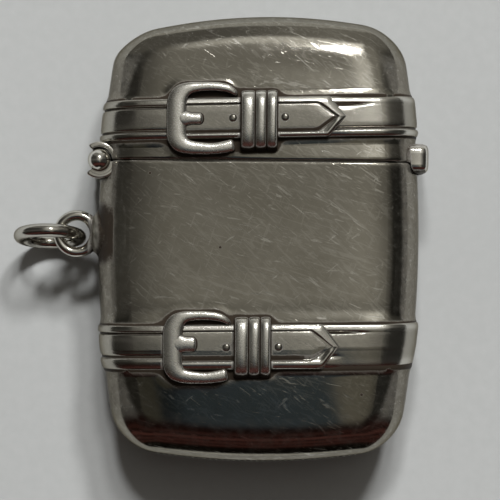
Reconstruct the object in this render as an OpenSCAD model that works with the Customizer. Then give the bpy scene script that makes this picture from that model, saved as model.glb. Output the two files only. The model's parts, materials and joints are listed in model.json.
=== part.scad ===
// Pocket match case in silver, worked as a trunk with two buckled straps.
// The case lies on its back: X runs across it, Y runs from the base to the lid and
// Z points out of the front. The origin is the middle of the lower strap's back face.

/* [Case] */
// Height of the closed case
case_h = 46; // [42:0.5:56]
// Width of the case at mid height, without straps
case_w = 33.3; // [29:0.1:42]
// Thickness of the case, without straps
case_t = 10; // [8:0.1:13]
// Sheet thickness of the stamped halves
wall = 0.6; // [0.4:0.05:0.9]
// Height of the lid, from the parting line to the top
lid_h = 15.15; // [14:0.05:18]
// Width of the parting line between lid and body
parting = 0.1; // [0.06:0.02:0.2]

/* [Cushion form] */
// Radius of the corners in plan
corner_r = 4.6; // [4.4:0.1:7]
// Radius of the bow of the long sides
side_bow_r = 115; // [80:1:300]
// Radius of the bow of the two ends
end_bow_r = 90; // [60:1:300]
// Width of the rolled shoulder along the sides
side_roll_w = 3.5; // [2.5:0.1:4.2]
// Width of the rolled shoulder along the ends
end_roll_w = 4.2; // [2.5:0.1:4.2]
// Straight band at mid thickness along the sides
side_band = 0.6; // [0.3:0.1:3]
// Straight band at mid thickness along the ends
end_band = 4; // [3.8:0.1:6]

/* [Straps] */
// Thickness of a strap on the case
strap_t = 0.4; // [0.25:0.05:0.6]
// Width of the upper strap
strap_upper_w = 4.2; // [3.6:0.1:4.8]
// Width of the lower strap
strap_lower_w = 4.6; // [3.6:0.1:5]
// Middle of the upper strap below the top
strap_upper_drop = 10.8; // [10:0.1:11]
// Middle of the lower strap above the base
strap_lower_rise = 11.9; // [9:0.1:16]
// Width of the raised rail along each strap edge
rail_w = 0.55; // [0.4:0.05:0.8]
// Depth of the groove inside each rail
groove_d = 0.16; // [0.05:0.01:0.2]
// Width of the groove inside each rail
groove_w = 0.3; // [0.2:0.05:0.5]
// Depth of the field between the rails
field_d = 0.08; // [0.02:0.01:0.15]

/* [Strap ends] */
// Thickness of a pointed strap end
strap_end_t = 0.2; // [0.15:0.05:0.4]
// Point of a strap end, from the left edge of its buckle
strap_end_reach = 17.9; // [16:0.1:20]
// Length of the pointed part
strap_point_l = 2.5; // [1.5:0.1:4]
// Width of the raised border of a strap end
border_w = 0.6; // [0.4:0.05:0.9]
// Depth of the field inside the border
pocket_d = 0.1; // [0.05:0.01:0.14]
// Radius of a stud where it meets the field
stud_r = 0.43; // [0.3:0.01:0.6]
// Height of a stud over the field
stud_h = 0.2; // [0.1:0.01:0.3]
// Each stud from the middle of the keeper
stud_off = 2.65; // [2.5:0.05:3]

/* [Buckles] */
// Left edge of the upper buckle, left of the middle
buckle_upper_left = 9.1; // [8:0.1:10]
// Left edge of the lower buckle, left of the middle
buckle_lower_left = 9.6; // [8:0.1:10]
// Length of a buckle frame along the strap
buckle_w = 6.8; // [6:0.1:7]
// Height of a buckle frame across the strap
buckle_h = 7.4; // [7.2:0.1:8]
// Top of a buckle frame over the case
buckle_t = 0.95; // [0.8:0.05:1.2]
// Width of the bar that carries the prong
prong_bar_w = 1.5; // [1:0.1:2]
// Width of the upper bar
upper_bar_w = 0.85; // [0.6:0.05:1]
// Width of the lower bar
lower_bar_w = 1.15; // [0.6:0.05:1.2]
// Radius of the two corners at the prong bar
buckle_r = 1.7; // [1.2:0.1:2.4]
// Radius of a prong
prong_r = 0.58; // [0.45:0.01:0.7]
// Reach of a prong past its bar
prong_reach = 2; // [1.6:0.1:2.6]

/* [Keepers] */
// Middle of a keeper, from the left edge of its buckle
keeper_from_buckle = 9.05; // [8.8:0.05:9.4]
// Width of a keeper along the strap
keeper_w = 3.8; // [3:0.1:4]
// Height of a keeper across the strap
keeper_h = 6.3; // [6.2:0.1:7]
// Top of a keeper over the case
keeper_t = 1.4; // [1.35:0.05:1.8]
// Ribs along a keeper
keeper_ribs = 3; // [2:1:5]
// Depth of the grooves between the ribs
rib_d = 0.14; // [0.05:0.01:0.2]

/* [Hinge] */
// Length of the hinge along the side
hinge_l = 7.4; // [5:0.1:7.6]
// Radius of the knuckles
knuckle_r = 1.15; // [1:0.05:1.3]
// Radius of the pin
pin_r = 0.45; // [0.35:0.05:0.6]
// Running clearance round the pin
pin_clear = 0.03; // [0.02:0.01:0.06]
// Wall of the half-round leaf that holds the knuckles
leaf_w = 0.62; // [0.5:0.02:0.7]
// Clearance between a leaf and the other leaf's knuckles
leaf_clear = 0.14; // [0.1:0.02:0.2]
// Length of the middle knuckle, which turns with the lid
middle_knuckle_l = 2.6; // [2:0.1:3.5]
// Gap between neighbouring knuckles
knuckle_gap = 0.06; // [0.04:0.01:0.1]
// Lip of the lid leaf, as an angle round the pin
lid_lip_a = 127; // [110:1:130]
// Lip of the body leaf, as an angle round the pin
body_lip_a = 135; // [120:1:138]

/* [Mouth and striker] */
// Height of the mouth rim over the parting line
rim_rise = 1.6; // [1:0.1:2.2]
// Depth of the mouth rim below the parting line
rim_depth = 3.2; // [2:0.1:5]
// Sheet thickness of the mouth rim
rim_t = 0.35; // [0.25:0.05:0.5]
// Clearance between the mouth rim and the lid
rim_clear = 0.14; // [0.1:0.02:0.25]
// Length of the striker along the base
striker_l = 21; // [12:0.5:22]
// Width of the striker
striker_w = 3.4; // [2:0.1:3.6]
// Height of the striker with its ribs
striker_t = 0.34; // [0.25:0.01:0.5]
// Height of a striker rib
striker_rib = 0.18; // [0.1:0.01:0.2]
// Spacing of the striker ribs
striker_pitch = 0.6; // [0.5:0.05:1]

/* [Thumbpiece] */
// How far the thumbpiece stands out from the side
thumb_out = 1.1; // [0.6:0.1:1.6]
// Reach of the thumbpiece above the parting line
thumb_rise = 2; // [1.2:0.1:2.1]
// Reach of the thumbpiece below the parting line
thumb_drop = 1.15; // [0.5:0.05:1.6]
// Length of the thumbpiece through the thickness of the case
thumb_l = 6.4; // [4:0.1:7]
// Radius of the outer corners of the thumbpiece
thumb_r = 0.7; // [0.3:0.05:0.8]
// Clearance between the thumbpiece and the body
thumb_clear = 0.15; // [0.1:0.05:0.3]

/* [Loop and ring] */
// Middle of the loop above mid height
loop_rise = 0.3; // [-2:0.1:3]
// Radius of the loop at the middle of its wire
loop_r = 1.92; // [1.8:0.02:2.4]
// Radius of the loop's wire
loop_wire_r = 0.54; // [0.4:0.02:0.6]
// Height of the loop's seat over the side
loop_seat_t = 0.6; // [0.4:0.05:1]
// Radius of the loop's seat on the case
loop_seat_r = 2.05; // [1.6:0.05:2.4]
// Radius of the ring at the middle of its wire
ring_r = 3.1; // [3:0.05:4]
// Radius of the ring's wire
ring_wire_r = 0.69; // [0.5:0.01:0.72]
// Play between the ring and the loop
ring_play = 0.12; // [0.08:0.02:0.2]
// Angle of the ring below level in its own plane
ring_droop = 53; // [20:1:60]
// Lean of the ring towards the lid
ring_lean = 11.5; // [0:0.5:14]

/* [Hidden] */

$fn = 48;

// Solder film between pieces that seat on each other
seat = 0.03;
// Colour of bright silver, of worn silver and of silver that has gone dark
bright = [0.78, 0.77, 0.73];
worn = [0.70, 0.68, 0.63];
dark = [0.55, 0.53, 0.49];

// Places in the case's own frame, whose origin is the middle of the case
half_t = case_t / 2;
parting_y = case_h / 2 - lid_h;
strap_upper_y = case_h / 2 - strap_upper_drop;
strap_lower_y = strap_lower_rise - case_h / 2;
strap_top = half_t + strap_t;
strap_end_top = strap_top + strap_end_t;
hinge_leaf_r = knuckle_r + leaf_clear + leaf_w;

// Facets of the lofted forms
roll_steps = 7;
corner_steps = 8;
end_steps = 6;
side_steps = 6;
lid_side_steps = 2;
arc_steps = 6;

// Unit vector at an angle
function heading(a) = [cos(a), sin(a)];
// Points of an arc about c from angle a to angle b
function arc(c, r, a, b, n = arc_steps) = [for (i = [0:n]) c + r * heading(a + (b - a) * i / n)];
// Angles from a towards b, without b itself
function spread(a, b, n) = [for (i = [0:n - 1]) a + (b - a) * i / n];
// Crossing of two circles, on the left of the line from p to q
function crossing(p, p_r, q, q_r) =
    let (d = norm(q - p), u = (q - p) / d, along = (d * d + p_r * p_r - q_r * q_r) / (2 * d))
    p + along * u + sqrt(p_r * p_r - along * along) * [-u.y, u.x];
// Two triangles for a four-cornered patch
function patch(a, b, c, d) = [[a, b, c], [a, c, d]];

// One quarter of the plan outline is three arcs that run on into each other
side_c = [case_w / 2 - side_bow_r, 0];
end_c = [0, case_h / 2 - end_bow_r];
corner_c = crossing(side_c, side_bow_r - corner_r, end_c, end_bow_r - corner_r);
corner_from = atan2(corner_c.y - side_c.y, corner_c.x - side_c.x);
corner_to = atan2(corner_c.y - end_c.y, corner_c.x - end_c.x);

// Any direction of the outline's normal brought into the first quarter
function first_quarter(turn) = abs(asin(sin(turn)));
// Point of the outline, grown outwards, where its normal has the angle turn
function quarter(turn, grow) =
    turn <= corner_from ? side_c + (side_bow_r + grow) * heading(turn) :
    turn <= corner_to ? corner_c + (corner_r + grow) * heading(turn) :
    end_c + (end_bow_r + grow) * heading(turn);
function outline(turn, grow) =
    let (q = quarter(first_quarter(turn), grow))
    [sign(cos(turn)) * q.x, sign(sin(turn)) * q.y];
// Share of the side's roll at a turn: 1 along a side, 0 along an end
function side_share(turn) =
    let (s = (corner_to - first_quarter(turn)) / (corner_to - corner_from), t = max(0, min(1, s)))
    t * t * (3 - 2 * t);
function roll_w(turn) = end_roll_w + (side_roll_w - end_roll_w) * side_share(turn);
function roll_d(turn) = half_t - (end_band + (side_band - end_band) * side_share(turn)) / 2;
// How far the form, grown outwards, draws in at a lift of the roll
function draw_in(turn, lift, grow) = grow - (roll_w(turn) + grow) * (1 - cos(lift));
function rise(turn, lift, grow) = half_t + grow - (roll_d(turn) + grow) * (1 - sin(lift));
// Turn at which a side of the grown form reaches the height y
function side_turn(y, lift, grow) = asin(y / (side_bow_r + draw_in(0, lift, grow)));

// Lifts of the roll from the wall to the face
lifts = [for (i = [0:roll_steps]) 90 * i / roll_steps];

// Half shell from the mid plane to the front. The turns run round the outline, and its
// first and last column are cut off level at the height cut_y.
module half_shell(turns, cut_y) {
    last = len(turns) - 1;
    rows = len(lifts) + 1;
    count = (last + 1) * rows;
    right_first = cos(turns[0]) > 0;
    function cut_turn(i, lift, grow) =
        let (t = side_turn(cut_y, lift, grow))
        i == 0 ? (right_first ? t : 180 - t) : right_first ? 180 - t : 360 + t;
    function column_turn(i, lift, grow) =
        i == 0 || i == last ? cut_turn(i, lift, grow) : turns[i];
    function place(i, lift, grow, z) =
        let (t = column_turn(i, lift, grow), p = outline(t, draw_in(t, lift, grow)))
        [p.x, i == 0 || i == last ? cut_y : p.y, z];
    function column(i, grow) = concat(
        [place(i, 0, grow, 0)],
        [for (lift = lifts) place(i, lift, grow, rise(column_turn(i, lift, grow), lift, grow))]);
    outer = [for (i = [0:last], p = column(i, 0)) p];
    inner = [for (i = [0:last], p = column(i, -wall)) p];
    function o(i, k) = i * rows + k;
    function n(i, k) = count + o(i, k);
    top = rows - 1;
    skins = [for (i = [0:last - 1], k = [0:top - 1], f = concat(
        patch(o(i, k), o(i, k + 1), o(i + 1, k + 1), o(i + 1, k)),
        patch(n(i, k), n(i + 1, k), n(i + 1, k + 1), n(i, k + 1)))) f];
    seam = [for (i = [0:last - 1], f = patch(o(i, 0), o(i + 1, 0), n(i + 1, 0), n(i, 0))) f];
    mouth = [for (k = [0:top - 1], f = concat(
        patch(o(0, k + 1), o(0, k), n(0, k), n(0, k + 1)),
        patch(o(last, k), o(last, k + 1), n(last, k + 1), n(last, k)))) f];
    panels = concat(
        [[for (i = [last:-1:0]) o(i, top)], [for (i = [0:last]) n(i, top)]],
        patch(o(last, top), o(0, top), n(0, top), n(last, top)));
    polyhedron(concat(outer, inner), concat(skins, seam, mouth, panels));
}

// Band that follows the form all round the case. A row is a height, an amount by which
// the form is grown and a relief depth, which fades out towards the back.
module wrap(outer_rows, inner_rows) {
    quarters = [[1, 1, true], [1, -1, false], [-1, -1, true], [-1, 1, false]];
    ring = [for (q = quarters, i = [0:roll_steps])
        [q[0], q[1], lifts[q[2] ? roll_steps - i : i]]];
    function place(row, at) =
        let (lift = at[2], fade = at[1] > 0 ? 1 : 1 - lift / 90, grow = row[1] - fade * row[2],
            t = side_turn(row[0], lift, grow), p = outline(t, draw_in(t, lift, grow)))
        [at[0] * p.x, row[0], at[1] * rise(t, lift, grow)];
    around = len(ring);
    outs = len(outer_rows);
    ins = len(inner_rows);
    points = [for (row = concat(outer_rows, inner_rows), at = ring) place(row, at)];
    function o(m, k) = k * around + m % around;
    function n(m, k) = o(m, outs + k);
    skins = concat(
        [for (m = [0:around - 1], k = [0:outs - 2],
            f = patch(o(m, k), o(m, k + 1), o(m + 1, k + 1), o(m + 1, k))) f],
        [for (m = [0:around - 1], k = [0:ins - 2],
            f = patch(n(m, k), n(m + 1, k), n(m + 1, k + 1), n(m, k + 1))) f]);
    edges = [for (m = [0:around - 1], f = concat(
        patch(o(m, 0), o(m + 1, 0), n(m + 1, 0), n(m, 0)),
        patch(o(m + 1, outs - 1), o(m, outs - 1), n(m, ins - 1), n(m + 1, ins - 1)))) f];
    polyhedron(points, concat(skins, edges));
}

// Solid of one bowed side, to cut pieces that seat on it; the right side unless mirrored
module side_form(grow, y_span) {
    sweep = 2 * asin(y_span / side_bow_r);
    function edge(lift) = [side_bow_r + draw_in(0, lift, grow), rise(0, lift, grow)];
    front = [for (lift = lifts) edge(lift)];
    back = [for (i = [roll_steps:-1:0]) [front[i].x, -front[i].y]];
    core = side_bow_r - 2 * side_roll_w;
    translate(side_c)
        rotate(-sweep / 2)
            rotate_extrude(angle = sweep, $fn = 360)
                polygon(concat([[core, -half_t - grow]], back, front, [[core, half_t + grow]]));
}

// Everything is drawn in the case's own frame and then set down on its back
module in_frame() {
    translate([0, -strap_lower_y, strap_top])
        children();
}
// Frame of the hinge, with its pin along Z
hinge_x = -side_c.x - sqrt(side_bow_r * side_bow_r - parting_y * parting_y);
module at_hinge() {
    translate([hinge_x, parting_y, 0])
        children();
}
// Round channel in the side that the hinge lies in
module hinge_channel(r, l) {
    at_hinge()
        cylinder(r = r, h = l, center = true);
}

// Turns of the columns of the lid and of the body
parting_turn = side_turn(parting_y, 0, 0);
lid_turns = concat(
    spread(parting_turn, corner_from, lid_side_steps),
    spread(corner_from, corner_to, corner_steps),
    spread(corner_to, 180 - corner_to, end_steps),
    spread(180 - corner_to, 180 - corner_from, corner_steps),
    spread(180 - corner_from, 180 - parting_turn, lid_side_steps),
    [180 - parting_turn]);
body_turns = concat(
    spread(180 - parting_turn, 180 + corner_from, side_steps),
    spread(180 + corner_from, 180 + corner_to, corner_steps),
    spread(180 + corner_to, 360 - corner_to, end_steps),
    spread(360 - corner_to, 360 - corner_from, corner_steps),
    spread(360 - corner_from, 360 + parting_turn, side_steps),
    [360 + parting_turn]);

module lid_half() {
    difference() {
        half_shell(lid_turns, parting_y + parting / 2);
        hinge_channel(hinge_leaf_r + seat, hinge_l + 2 * seat);
    }
}
module body_half() {
    difference() {
        half_shell(body_turns, parting_y - parting / 2);
        hinge_channel(hinge_leaf_r + seat, hinge_l + 2 * seat);
    }
}

module body_front() {
    color(bright)
        in_frame()
            body_half();
}
module body_back() {
    color(bright)
        in_frame()
            mirror([0, 0, 1])
                body_half();
}
module lid_front() {
    color(bright)
        in_frame()
            lid_half();
}
module lid_back() {
    color(bright)
        in_frame()
            mirror([0, 0, 1])
                lid_half();
}

// Inner flange that stands in the mouth of the body and guides the lid
module mouth_rim() {
    bottom = parting_y - rim_depth;
    top = parting_y + rim_rise;
    shoulder = parting_y - parting / 2;
    inside = -wall - seat;
    free = -wall - rim_clear;
    color(bright)
        in_frame()
            difference() {
                wrap(
                    [[bottom, inside, 0], [shoulder, inside, 0], [shoulder + parting / 2, free, 0],
                        [top, free, 0]],
                    [[bottom, inside - rim_t, 0], [top, free - rim_t, 0]]);
                hinge_channel(hinge_leaf_r + 2 * rim_clear, 2 * case_t);
            }
}

// Ribbed strip along the base that a match is struck on
module striker() {
    ribs = floor(striker_l / striker_pitch);
    step = striker_pitch / end_bow_r * 180 / PI;
    from = 90 - ribs * step / 2;
    low = end_bow_r + striker_t - striker_rib;
    foot = end_bow_r + seat;
    crest = [for (i = [0:2 * ribs])
        end_c + (i % 2 == 0 ? low : low + striker_rib) * heading(from + i * step / 2)];
    base = [for (i = [2 * ribs:-1:0]) end_c + foot * heading(from + i * step / 2)];
    color(worn)
        in_frame()
            rotate(180)
                linear_extrude(striker_w, center = true)
                    polygon(concat(crest, base));
}

// Strap with a raised rail and a groove along each edge
module strap(y, w) {
    half = w / 2;
    left = [
        [-half, strap_t, 0.3 * strap_t],
        [-half + 0.35 * rail_w, strap_t, 0],
        [-half + rail_w, strap_t, 0],
        [-half + rail_w + 0.5 * groove_w, strap_t, groove_d],
        [-half + rail_w + groove_w, strap_t, field_d]];
    right = [for (i = [len(left) - 1:-1:0]) [-left[i][0], left[i][1], left[i][2]]];
    rows = [for (row = concat(left, right)) [y + row[0], row[1], row[2]]];
    in_frame()
        wrap(rows, [[y - half, seat, 0], [y + half, seat, 0]]);
}
module strap_lower() {
    color(worn)
        strap(strap_lower_y, strap_lower_w);
}
module strap_upper() {
    color(worn)
        strap(strap_upper_y, strap_upper_w);
}

// Places along a strap count from the left edge of its buckle, at the strap's middle
module on_strap(y, left) {
    in_frame()
        translate([-left, y, 0])
            children();
}

// Pointed outline of a strap end, drawn in by a border
module strap_end_outline(w, border) {
    half = w / 2;
    slope = strap_point_l / half;
    reach = strap_end_reach - border * norm([1, slope]);
    side = half - border;
    start = prong_bar_w + seat + border;
    polygon([[start, -side], [reach - slope * side, -side], [reach, 0], [reach - slope * side, side],
        [start, side]]);
}
module strap_end(y, left, w) {
    on_strap(y, left)
        difference() {
            translate([0, 0, strap_top + seat])
                linear_extrude(strap_end_t - seat)
                    strap_end_outline(w, 0);
            translate([0, 0, strap_end_top - pocket_d])
                linear_extrude(strap_end_t)
                    strap_end_outline(w, border_w);
        }
}
module strap_lower_end() {
    color(worn)
        strap_end(strap_lower_y, buckle_lower_left, strap_lower_w);
}
module strap_upper_end() {
    color(worn)
        strap_end(strap_upper_y, buckle_upper_left, strap_upper_w);
}

// Small dome in the field of a strap end; side is -1 by the buckle and 1 by the point
module stud(y, left, side) {
    ball_r = (stud_r * stud_r + stud_h * stud_h) / (2 * stud_h);
    on_strap(y, left)
        translate([keeper_from_buckle + side * stud_off, 0, strap_end_top - pocket_d])
            intersection() {
                translate([0, 0, stud_h - ball_r])
                    sphere(ball_r);
                translate([0, 0, stud_h])
                    cube([4 * stud_r, 4 * stud_r, 2 * stud_h], center = true);
            }
}
module stud_lower_inner() {
    color(worn)
        stud(strap_lower_y, buckle_lower_left, -1);
}
module stud_lower_outer() {
    color(worn)
        stud(strap_lower_y, buckle_lower_left, 1);
}
module stud_upper_inner() {
    color(worn)
        stud(strap_upper_y, buckle_upper_left, -1);
}
module stud_upper_outer() {
    color(worn)
        stud(strap_upper_y, buckle_upper_left, 1);
}

// Open buckle frame: the prong bar bridges the strap and the two ends curl in to its edges
module buckle(y, left, w) {
    half = buckle_h / 2;
    strap_half = w / 2 + seat;
    curl = half - strap_half;
    curl_x = buckle_w - curl;
    eye_r = 0.4 * buckle_r;
    eye_x = prong_bar_w + eye_r;
    eye_top = half - upper_bar_w - eye_r;
    eye_bottom = lower_bar_w + eye_r - half;
    outside = concat(
        arc([curl_x, -strap_half], curl, 0, -90),
        arc([buckle_r, buckle_r - half], buckle_r, -90, -180),
        arc([buckle_r, half - buckle_r], buckle_r, 180, 90),
        arc([curl_x, strap_half], curl, 90, 0));
    inside = concat(
        arc([curl_x, strap_half], curl - upper_bar_w, 0, 90),
        arc([eye_x, eye_top], eye_r, 90, 180),
        arc([eye_x, eye_bottom], eye_r, 180, 270),
        arc([curl_x, -strap_half], curl - lower_bar_w, -90, 0));
    on_strap(y, left)
        difference() {
            translate([0, 0, half_t + seat])
                linear_extrude(buckle_t - seat)
                    polygon(concat(outside, inside));
            translate([-buckle_w, -strap_half, 0])
                cube([2 * buckle_w, 2 * strap_half, strap_top + seat]);
        }
}
module buckle_lower() {
    color(bright)
        buckle(strap_lower_y, buckle_lower_left, strap_lower_w);
}
module buckle_upper() {
    color(bright)
        buckle(strap_upper_y, buckle_upper_left, strap_upper_w);
}

// Round-ended prong that laps over its bar and lies on the strap end
module prong(y, left) {
    axis_z = half_t + buckle_t - 0.4 * prong_r;
    ball_x = prong_bar_w + prong_reach - prong_r;
    on_strap(y, left)
        difference() {
            translate([0, 0, axis_z])
                union() {
                    translate([0.25 * prong_bar_w, 0, 0])
                        rotate([0, 90, 0])
                            cylinder(r = prong_r, h = ball_x - 0.25 * prong_bar_w);
                    translate([ball_x, 0, 0])
                        sphere(prong_r);
                }
            translate([-buckle_w, -buckle_h / 2, 0])
                cube([buckle_w + prong_bar_w + seat, buckle_h, half_t + buckle_t + seat]);
            translate([-buckle_w, -buckle_h / 2, 0])
                cube([3 * buckle_w, buckle_h, strap_end_top + seat]);
        }
}
module prong_lower() {
    color(bright)
        prong(strap_lower_y, buckle_lower_left);
}
module prong_upper() {
    color(bright)
        prong(strap_upper_y, buckle_upper_left);
}

// Ribbed keeper, an arched bar turned about an axis along the strap
module keeper(y, left, w) {
    arch_r = (keeper_h * keeper_h / 4 + keeper_t * keeper_t) / (2 * keeper_t);
    rib_w = keeper_w / keeper_ribs;
    edge = 0.18 * rib_w;
    profile = [for (i = [0:keeper_ribs - 1], p = [
        [arch_r - rib_d, i * rib_w],
        [arch_r, i * rib_w + edge],
        [arch_r, (i + 1) * rib_w - edge]]) p];
    strap_half = w / 2 + seat;
    on_strap(y, left)
        difference() {
            translate([keeper_from_buckle - keeper_w / 2, 0, half_t + keeper_t - arch_r])
                rotate([0, 90, 0])
                    rotate_extrude($fn = 96)
                        polygon(concat(
                            [[arch_r - keeper_t, 0]], profile,
                            [[arch_r - rib_d, keeper_w], [arch_r - keeper_t, keeper_w]]));
            translate([-case_w, -case_h, half_t + seat - case_t * 2])
                cube([2 * case_w, 2 * case_h, case_t * 2]);
            translate([-case_w, -strap_half, 0])
                cube([2 * case_w, 2 * strap_half, strap_end_top + seat]);
        }
}
module keeper_lower() {
    color(bright)
        keeper(strap_lower_y, buckle_lower_left, strap_lower_w);
}
module keeper_upper() {
    color(bright)
        keeper(strap_upper_y, buckle_upper_left, strap_upper_w);
}

// Knuckle tube from one height to another
module knuckle(from, to) {
    translate([0, 0, from])
        difference() {
            cylinder(r = knuckle_r, h = to - from);
            translate([0, 0, -1])
                cylinder(r = pin_r + pin_clear, h = to - from + 2);
        }
}
// Half-round leaf: its wall is thick where it carries a knuckle and clear of the others
hinge_bite = 0.3 * (knuckle_r - pin_r);
leaf_gap_a = asin(parting / 2 / knuckle_r);
middle_half = middle_knuckle_l / 2;
side_from = middle_half + knuckle_gap;
module hinge_leaf_lid() {
    bore = knuckle_r + leaf_clear;
    thick = knuckle_r - hinge_bite;
    color(bright)
        in_frame()
            at_hinge()
                union() {
                    rotate(leaf_gap_a)
                        rotate_extrude(angle = lid_lip_a - leaf_gap_a)
                            polygon([
                                [hinge_leaf_r, -hinge_l / 2], [hinge_leaf_r, hinge_l / 2],
                                [bore, hinge_l / 2], [bore, middle_half], [thick, middle_half],
                                [thick, -middle_half], [bore, -middle_half], [bore, -hinge_l / 2]]);
                    knuckle(-middle_half, middle_half);
                }
}
module hinge_leaf_body() {
    bore = knuckle_r + leaf_clear;
    thick = knuckle_r - hinge_bite;
    color(bright)
        in_frame()
            at_hinge()
                union() {
                    rotate(-body_lip_a)
                        rotate_extrude(angle = body_lip_a - leaf_gap_a)
                            polygon([
                                [hinge_leaf_r, -hinge_l / 2], [hinge_leaf_r, hinge_l / 2],
                                [thick, hinge_l / 2], [thick, side_from], [bore, side_from],
                                [bore, -side_from], [thick, -side_from], [thick, -hinge_l / 2]]);
                    knuckle(-hinge_l / 2, -side_from);
                    knuckle(side_from, hinge_l / 2);
                }
}
// Pin with a domed head at each end
module hinge_pin() {
    head_z = hinge_l / 2 + seat;
    color(bright)
        in_frame()
            at_hinge()
                union() {
                    cylinder(r = pin_r, h = 2 * head_z + knuckle_r, center = true);
                    for (side = [0, 180])
                        rotate([side, 0, 0])
                            translate([0, 0, head_z])
                                intersection() {
                                    sphere(knuckle_r);
                                    translate([0, 0, knuckle_r])
                                        cube(2 * knuckle_r, center = true);
                                }
                }
}

// Lip on the side of the lid that overhangs the parting line
module thumbpiece() {
    out_x = case_w / 2 - parting_y * parting_y / (2 * side_bow_r) + thumb_out;
    in_x = case_w / 2 - side_roll_w;
    top = parting_y + thumb_rise;
    bottom = parting_y - thumb_drop;
    half_l = thumb_l / 2;
    color(bright)
        in_frame()
            difference() {
                intersection() {
                    linear_extrude(case_t, center = true)
                        polygon(concat(
                            [[in_x, top], [in_x, bottom]],
                            arc([out_x - thumb_r, bottom + thumb_r], thumb_r, -90, 0),
                            arc([out_x - thumb_r, top - thumb_r], thumb_r, 0, 90)));
                    rotate([90, 0, 0])
                        linear_extrude(2 * case_h, center = true)
                            polygon(concat(
                                [[in_x, half_l], [in_x, -half_l]],
                                arc([out_x - thumb_r, thumb_r - half_l], thumb_r, -90, 0),
                                arc([out_x - thumb_r, half_l - thumb_r], thumb_r, 0, 90)));
                }
                side_form(seat, lid_h);
                intersection() {
                    side_form(thumb_clear, lid_h);
                    translate([0, parting_y + parting / 2 - case_h, -case_t])
                        cube([case_w, case_h, 2 * case_t]);
                }
            }
}

// Tapered seat soldered to the side, and the wire loop that stands on it
loop_face_x = -case_w / 2 - loop_seat_t;
loop_x = loop_face_x - loop_r + loop_wire_r / 2;
module loop_seat() {
    color(dark)
        in_frame()
            difference() {
                translate([loop_face_x, loop_rise, 0])
                    rotate([0, 90, 0])
                        cylinder(r1 = loop_seat_r - loop_seat_t / 2, r2 = loop_seat_r + loop_seat_t / 2,
                            h = 2 * loop_seat_t);
                mirror([1, 0, 0])
                    side_form(seat, lid_h);
            }
}
module loop() {
    color(worn)
        in_frame()
            difference() {
                translate([loop_x, loop_rise, 0])
                    rotate_extrude()
                        translate([loop_r, 0])
                            circle(loop_wire_r);
                translate([loop_face_x - seat, loop_rise - 2 * loop_r, -case_t])
                    cube([4 * loop_r, 4 * loop_r, 2 * case_t]);
            }
}

// Plain ring that hangs in the loop, leaning a little
ring_arm = ring_r - ring_wire_r - loop_wire_r - ring_play;
module jump_ring() {
    color(worn)
        in_frame()
            translate([loop_x - loop_r, loop_rise, 0])
                rotate([-ring_lean, 0, 0])
                    translate([-ring_arm * cos(ring_droop), 0, -ring_arm * sin(ring_droop)])
                        rotate([90, 0, 0])
                            rotate_extrude()
                                translate([ring_r, 0])
                                    circle(ring_wire_r);
}

body_front();
body_back();
mouth_rim();
striker();
strap_lower();
strap_lower_end();
stud_lower_inner();
stud_lower_outer();
buckle_lower();
prong_lower();
keeper_lower();
hinge_leaf_body();
hinge_pin();
loop_seat();
loop();
lid_front();
lid_back();
strap_upper();
strap_upper_end();
stud_upper_inner();
stud_upper_outer();
buckle_upper();
prong_upper();
keeper_upper();
hinge_leaf_lid();
thumbpiece();
jump_ring();
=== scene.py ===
"""Pocket match case in silver, worked as a trunk with two buckled straps.

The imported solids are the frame. Each of them is drawn again as a fine surface worked out
with numpy, rides on the body of its solid and wears a silver finish made of nodes.
Lengths are in metres. The sums are done in the case's own frame, whose origin is the
middle of the closed case: X runs across it, Y from the base to the lid, Z out of the front.
"""

import json
import math

import bmesh
import bpy
import numpy as np
from bpy.props import FloatProperty, FloatVectorProperty, PointerProperty
from bpy.types import Operator, Panel, PropertyGroup
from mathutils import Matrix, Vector


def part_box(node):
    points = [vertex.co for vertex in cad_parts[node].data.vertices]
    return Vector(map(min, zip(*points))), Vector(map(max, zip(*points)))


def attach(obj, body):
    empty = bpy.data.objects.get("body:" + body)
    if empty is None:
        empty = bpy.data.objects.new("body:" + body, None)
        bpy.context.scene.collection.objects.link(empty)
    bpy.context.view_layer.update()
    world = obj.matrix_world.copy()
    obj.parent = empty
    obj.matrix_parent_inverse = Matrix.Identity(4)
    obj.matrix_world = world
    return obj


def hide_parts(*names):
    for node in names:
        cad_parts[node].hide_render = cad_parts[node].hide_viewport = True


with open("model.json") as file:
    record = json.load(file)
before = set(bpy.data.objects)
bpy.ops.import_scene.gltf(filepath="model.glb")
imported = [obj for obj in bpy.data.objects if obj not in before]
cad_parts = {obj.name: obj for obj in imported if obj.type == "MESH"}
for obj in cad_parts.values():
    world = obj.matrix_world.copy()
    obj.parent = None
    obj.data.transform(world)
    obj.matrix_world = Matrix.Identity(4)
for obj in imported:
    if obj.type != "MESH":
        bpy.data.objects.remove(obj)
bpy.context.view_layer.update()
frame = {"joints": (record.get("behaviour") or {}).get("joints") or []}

bl_info = {
    "name": "Strapped match case",
    "version": (1, 0, 0),
    "blender": (4, 5, 0),
    "location": "View3D > Sidebar > Match case",
    "description": "Draws a silver pocket match case over its packed solids",
    "category": "Add Mesh",
}

MM = 0.001
WELD = 0.0005 * MM
# Solder between two pieces, reach of a piece into the sheet under it, and width of the rail
# and groove along a strap's edge.
FILM = 0.03 * MM
SUNK = 0.2 * MM
RAIL_ZONE = 1.25 * MM
RIGHT_ANGLE = math.pi / 2
# Rows of points over a rolled shoulder and from a belt to the shoulder of an end, and columns
# of an end along the rest of a side, round a corner and along the end itself.
ROLL_STEPS = 27
FACE_STEPS = 12
SIDE_COLUMNS = 4
CORNER_COLUMNS = 20
END_COLUMNS = 84


def length(name, description, millimetres):
    """A length property whose default is given in millimetres."""
    return FloatProperty(name=name, description=description, default=millimetres * MM,
                         unit="LENGTH", precision=6)


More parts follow.
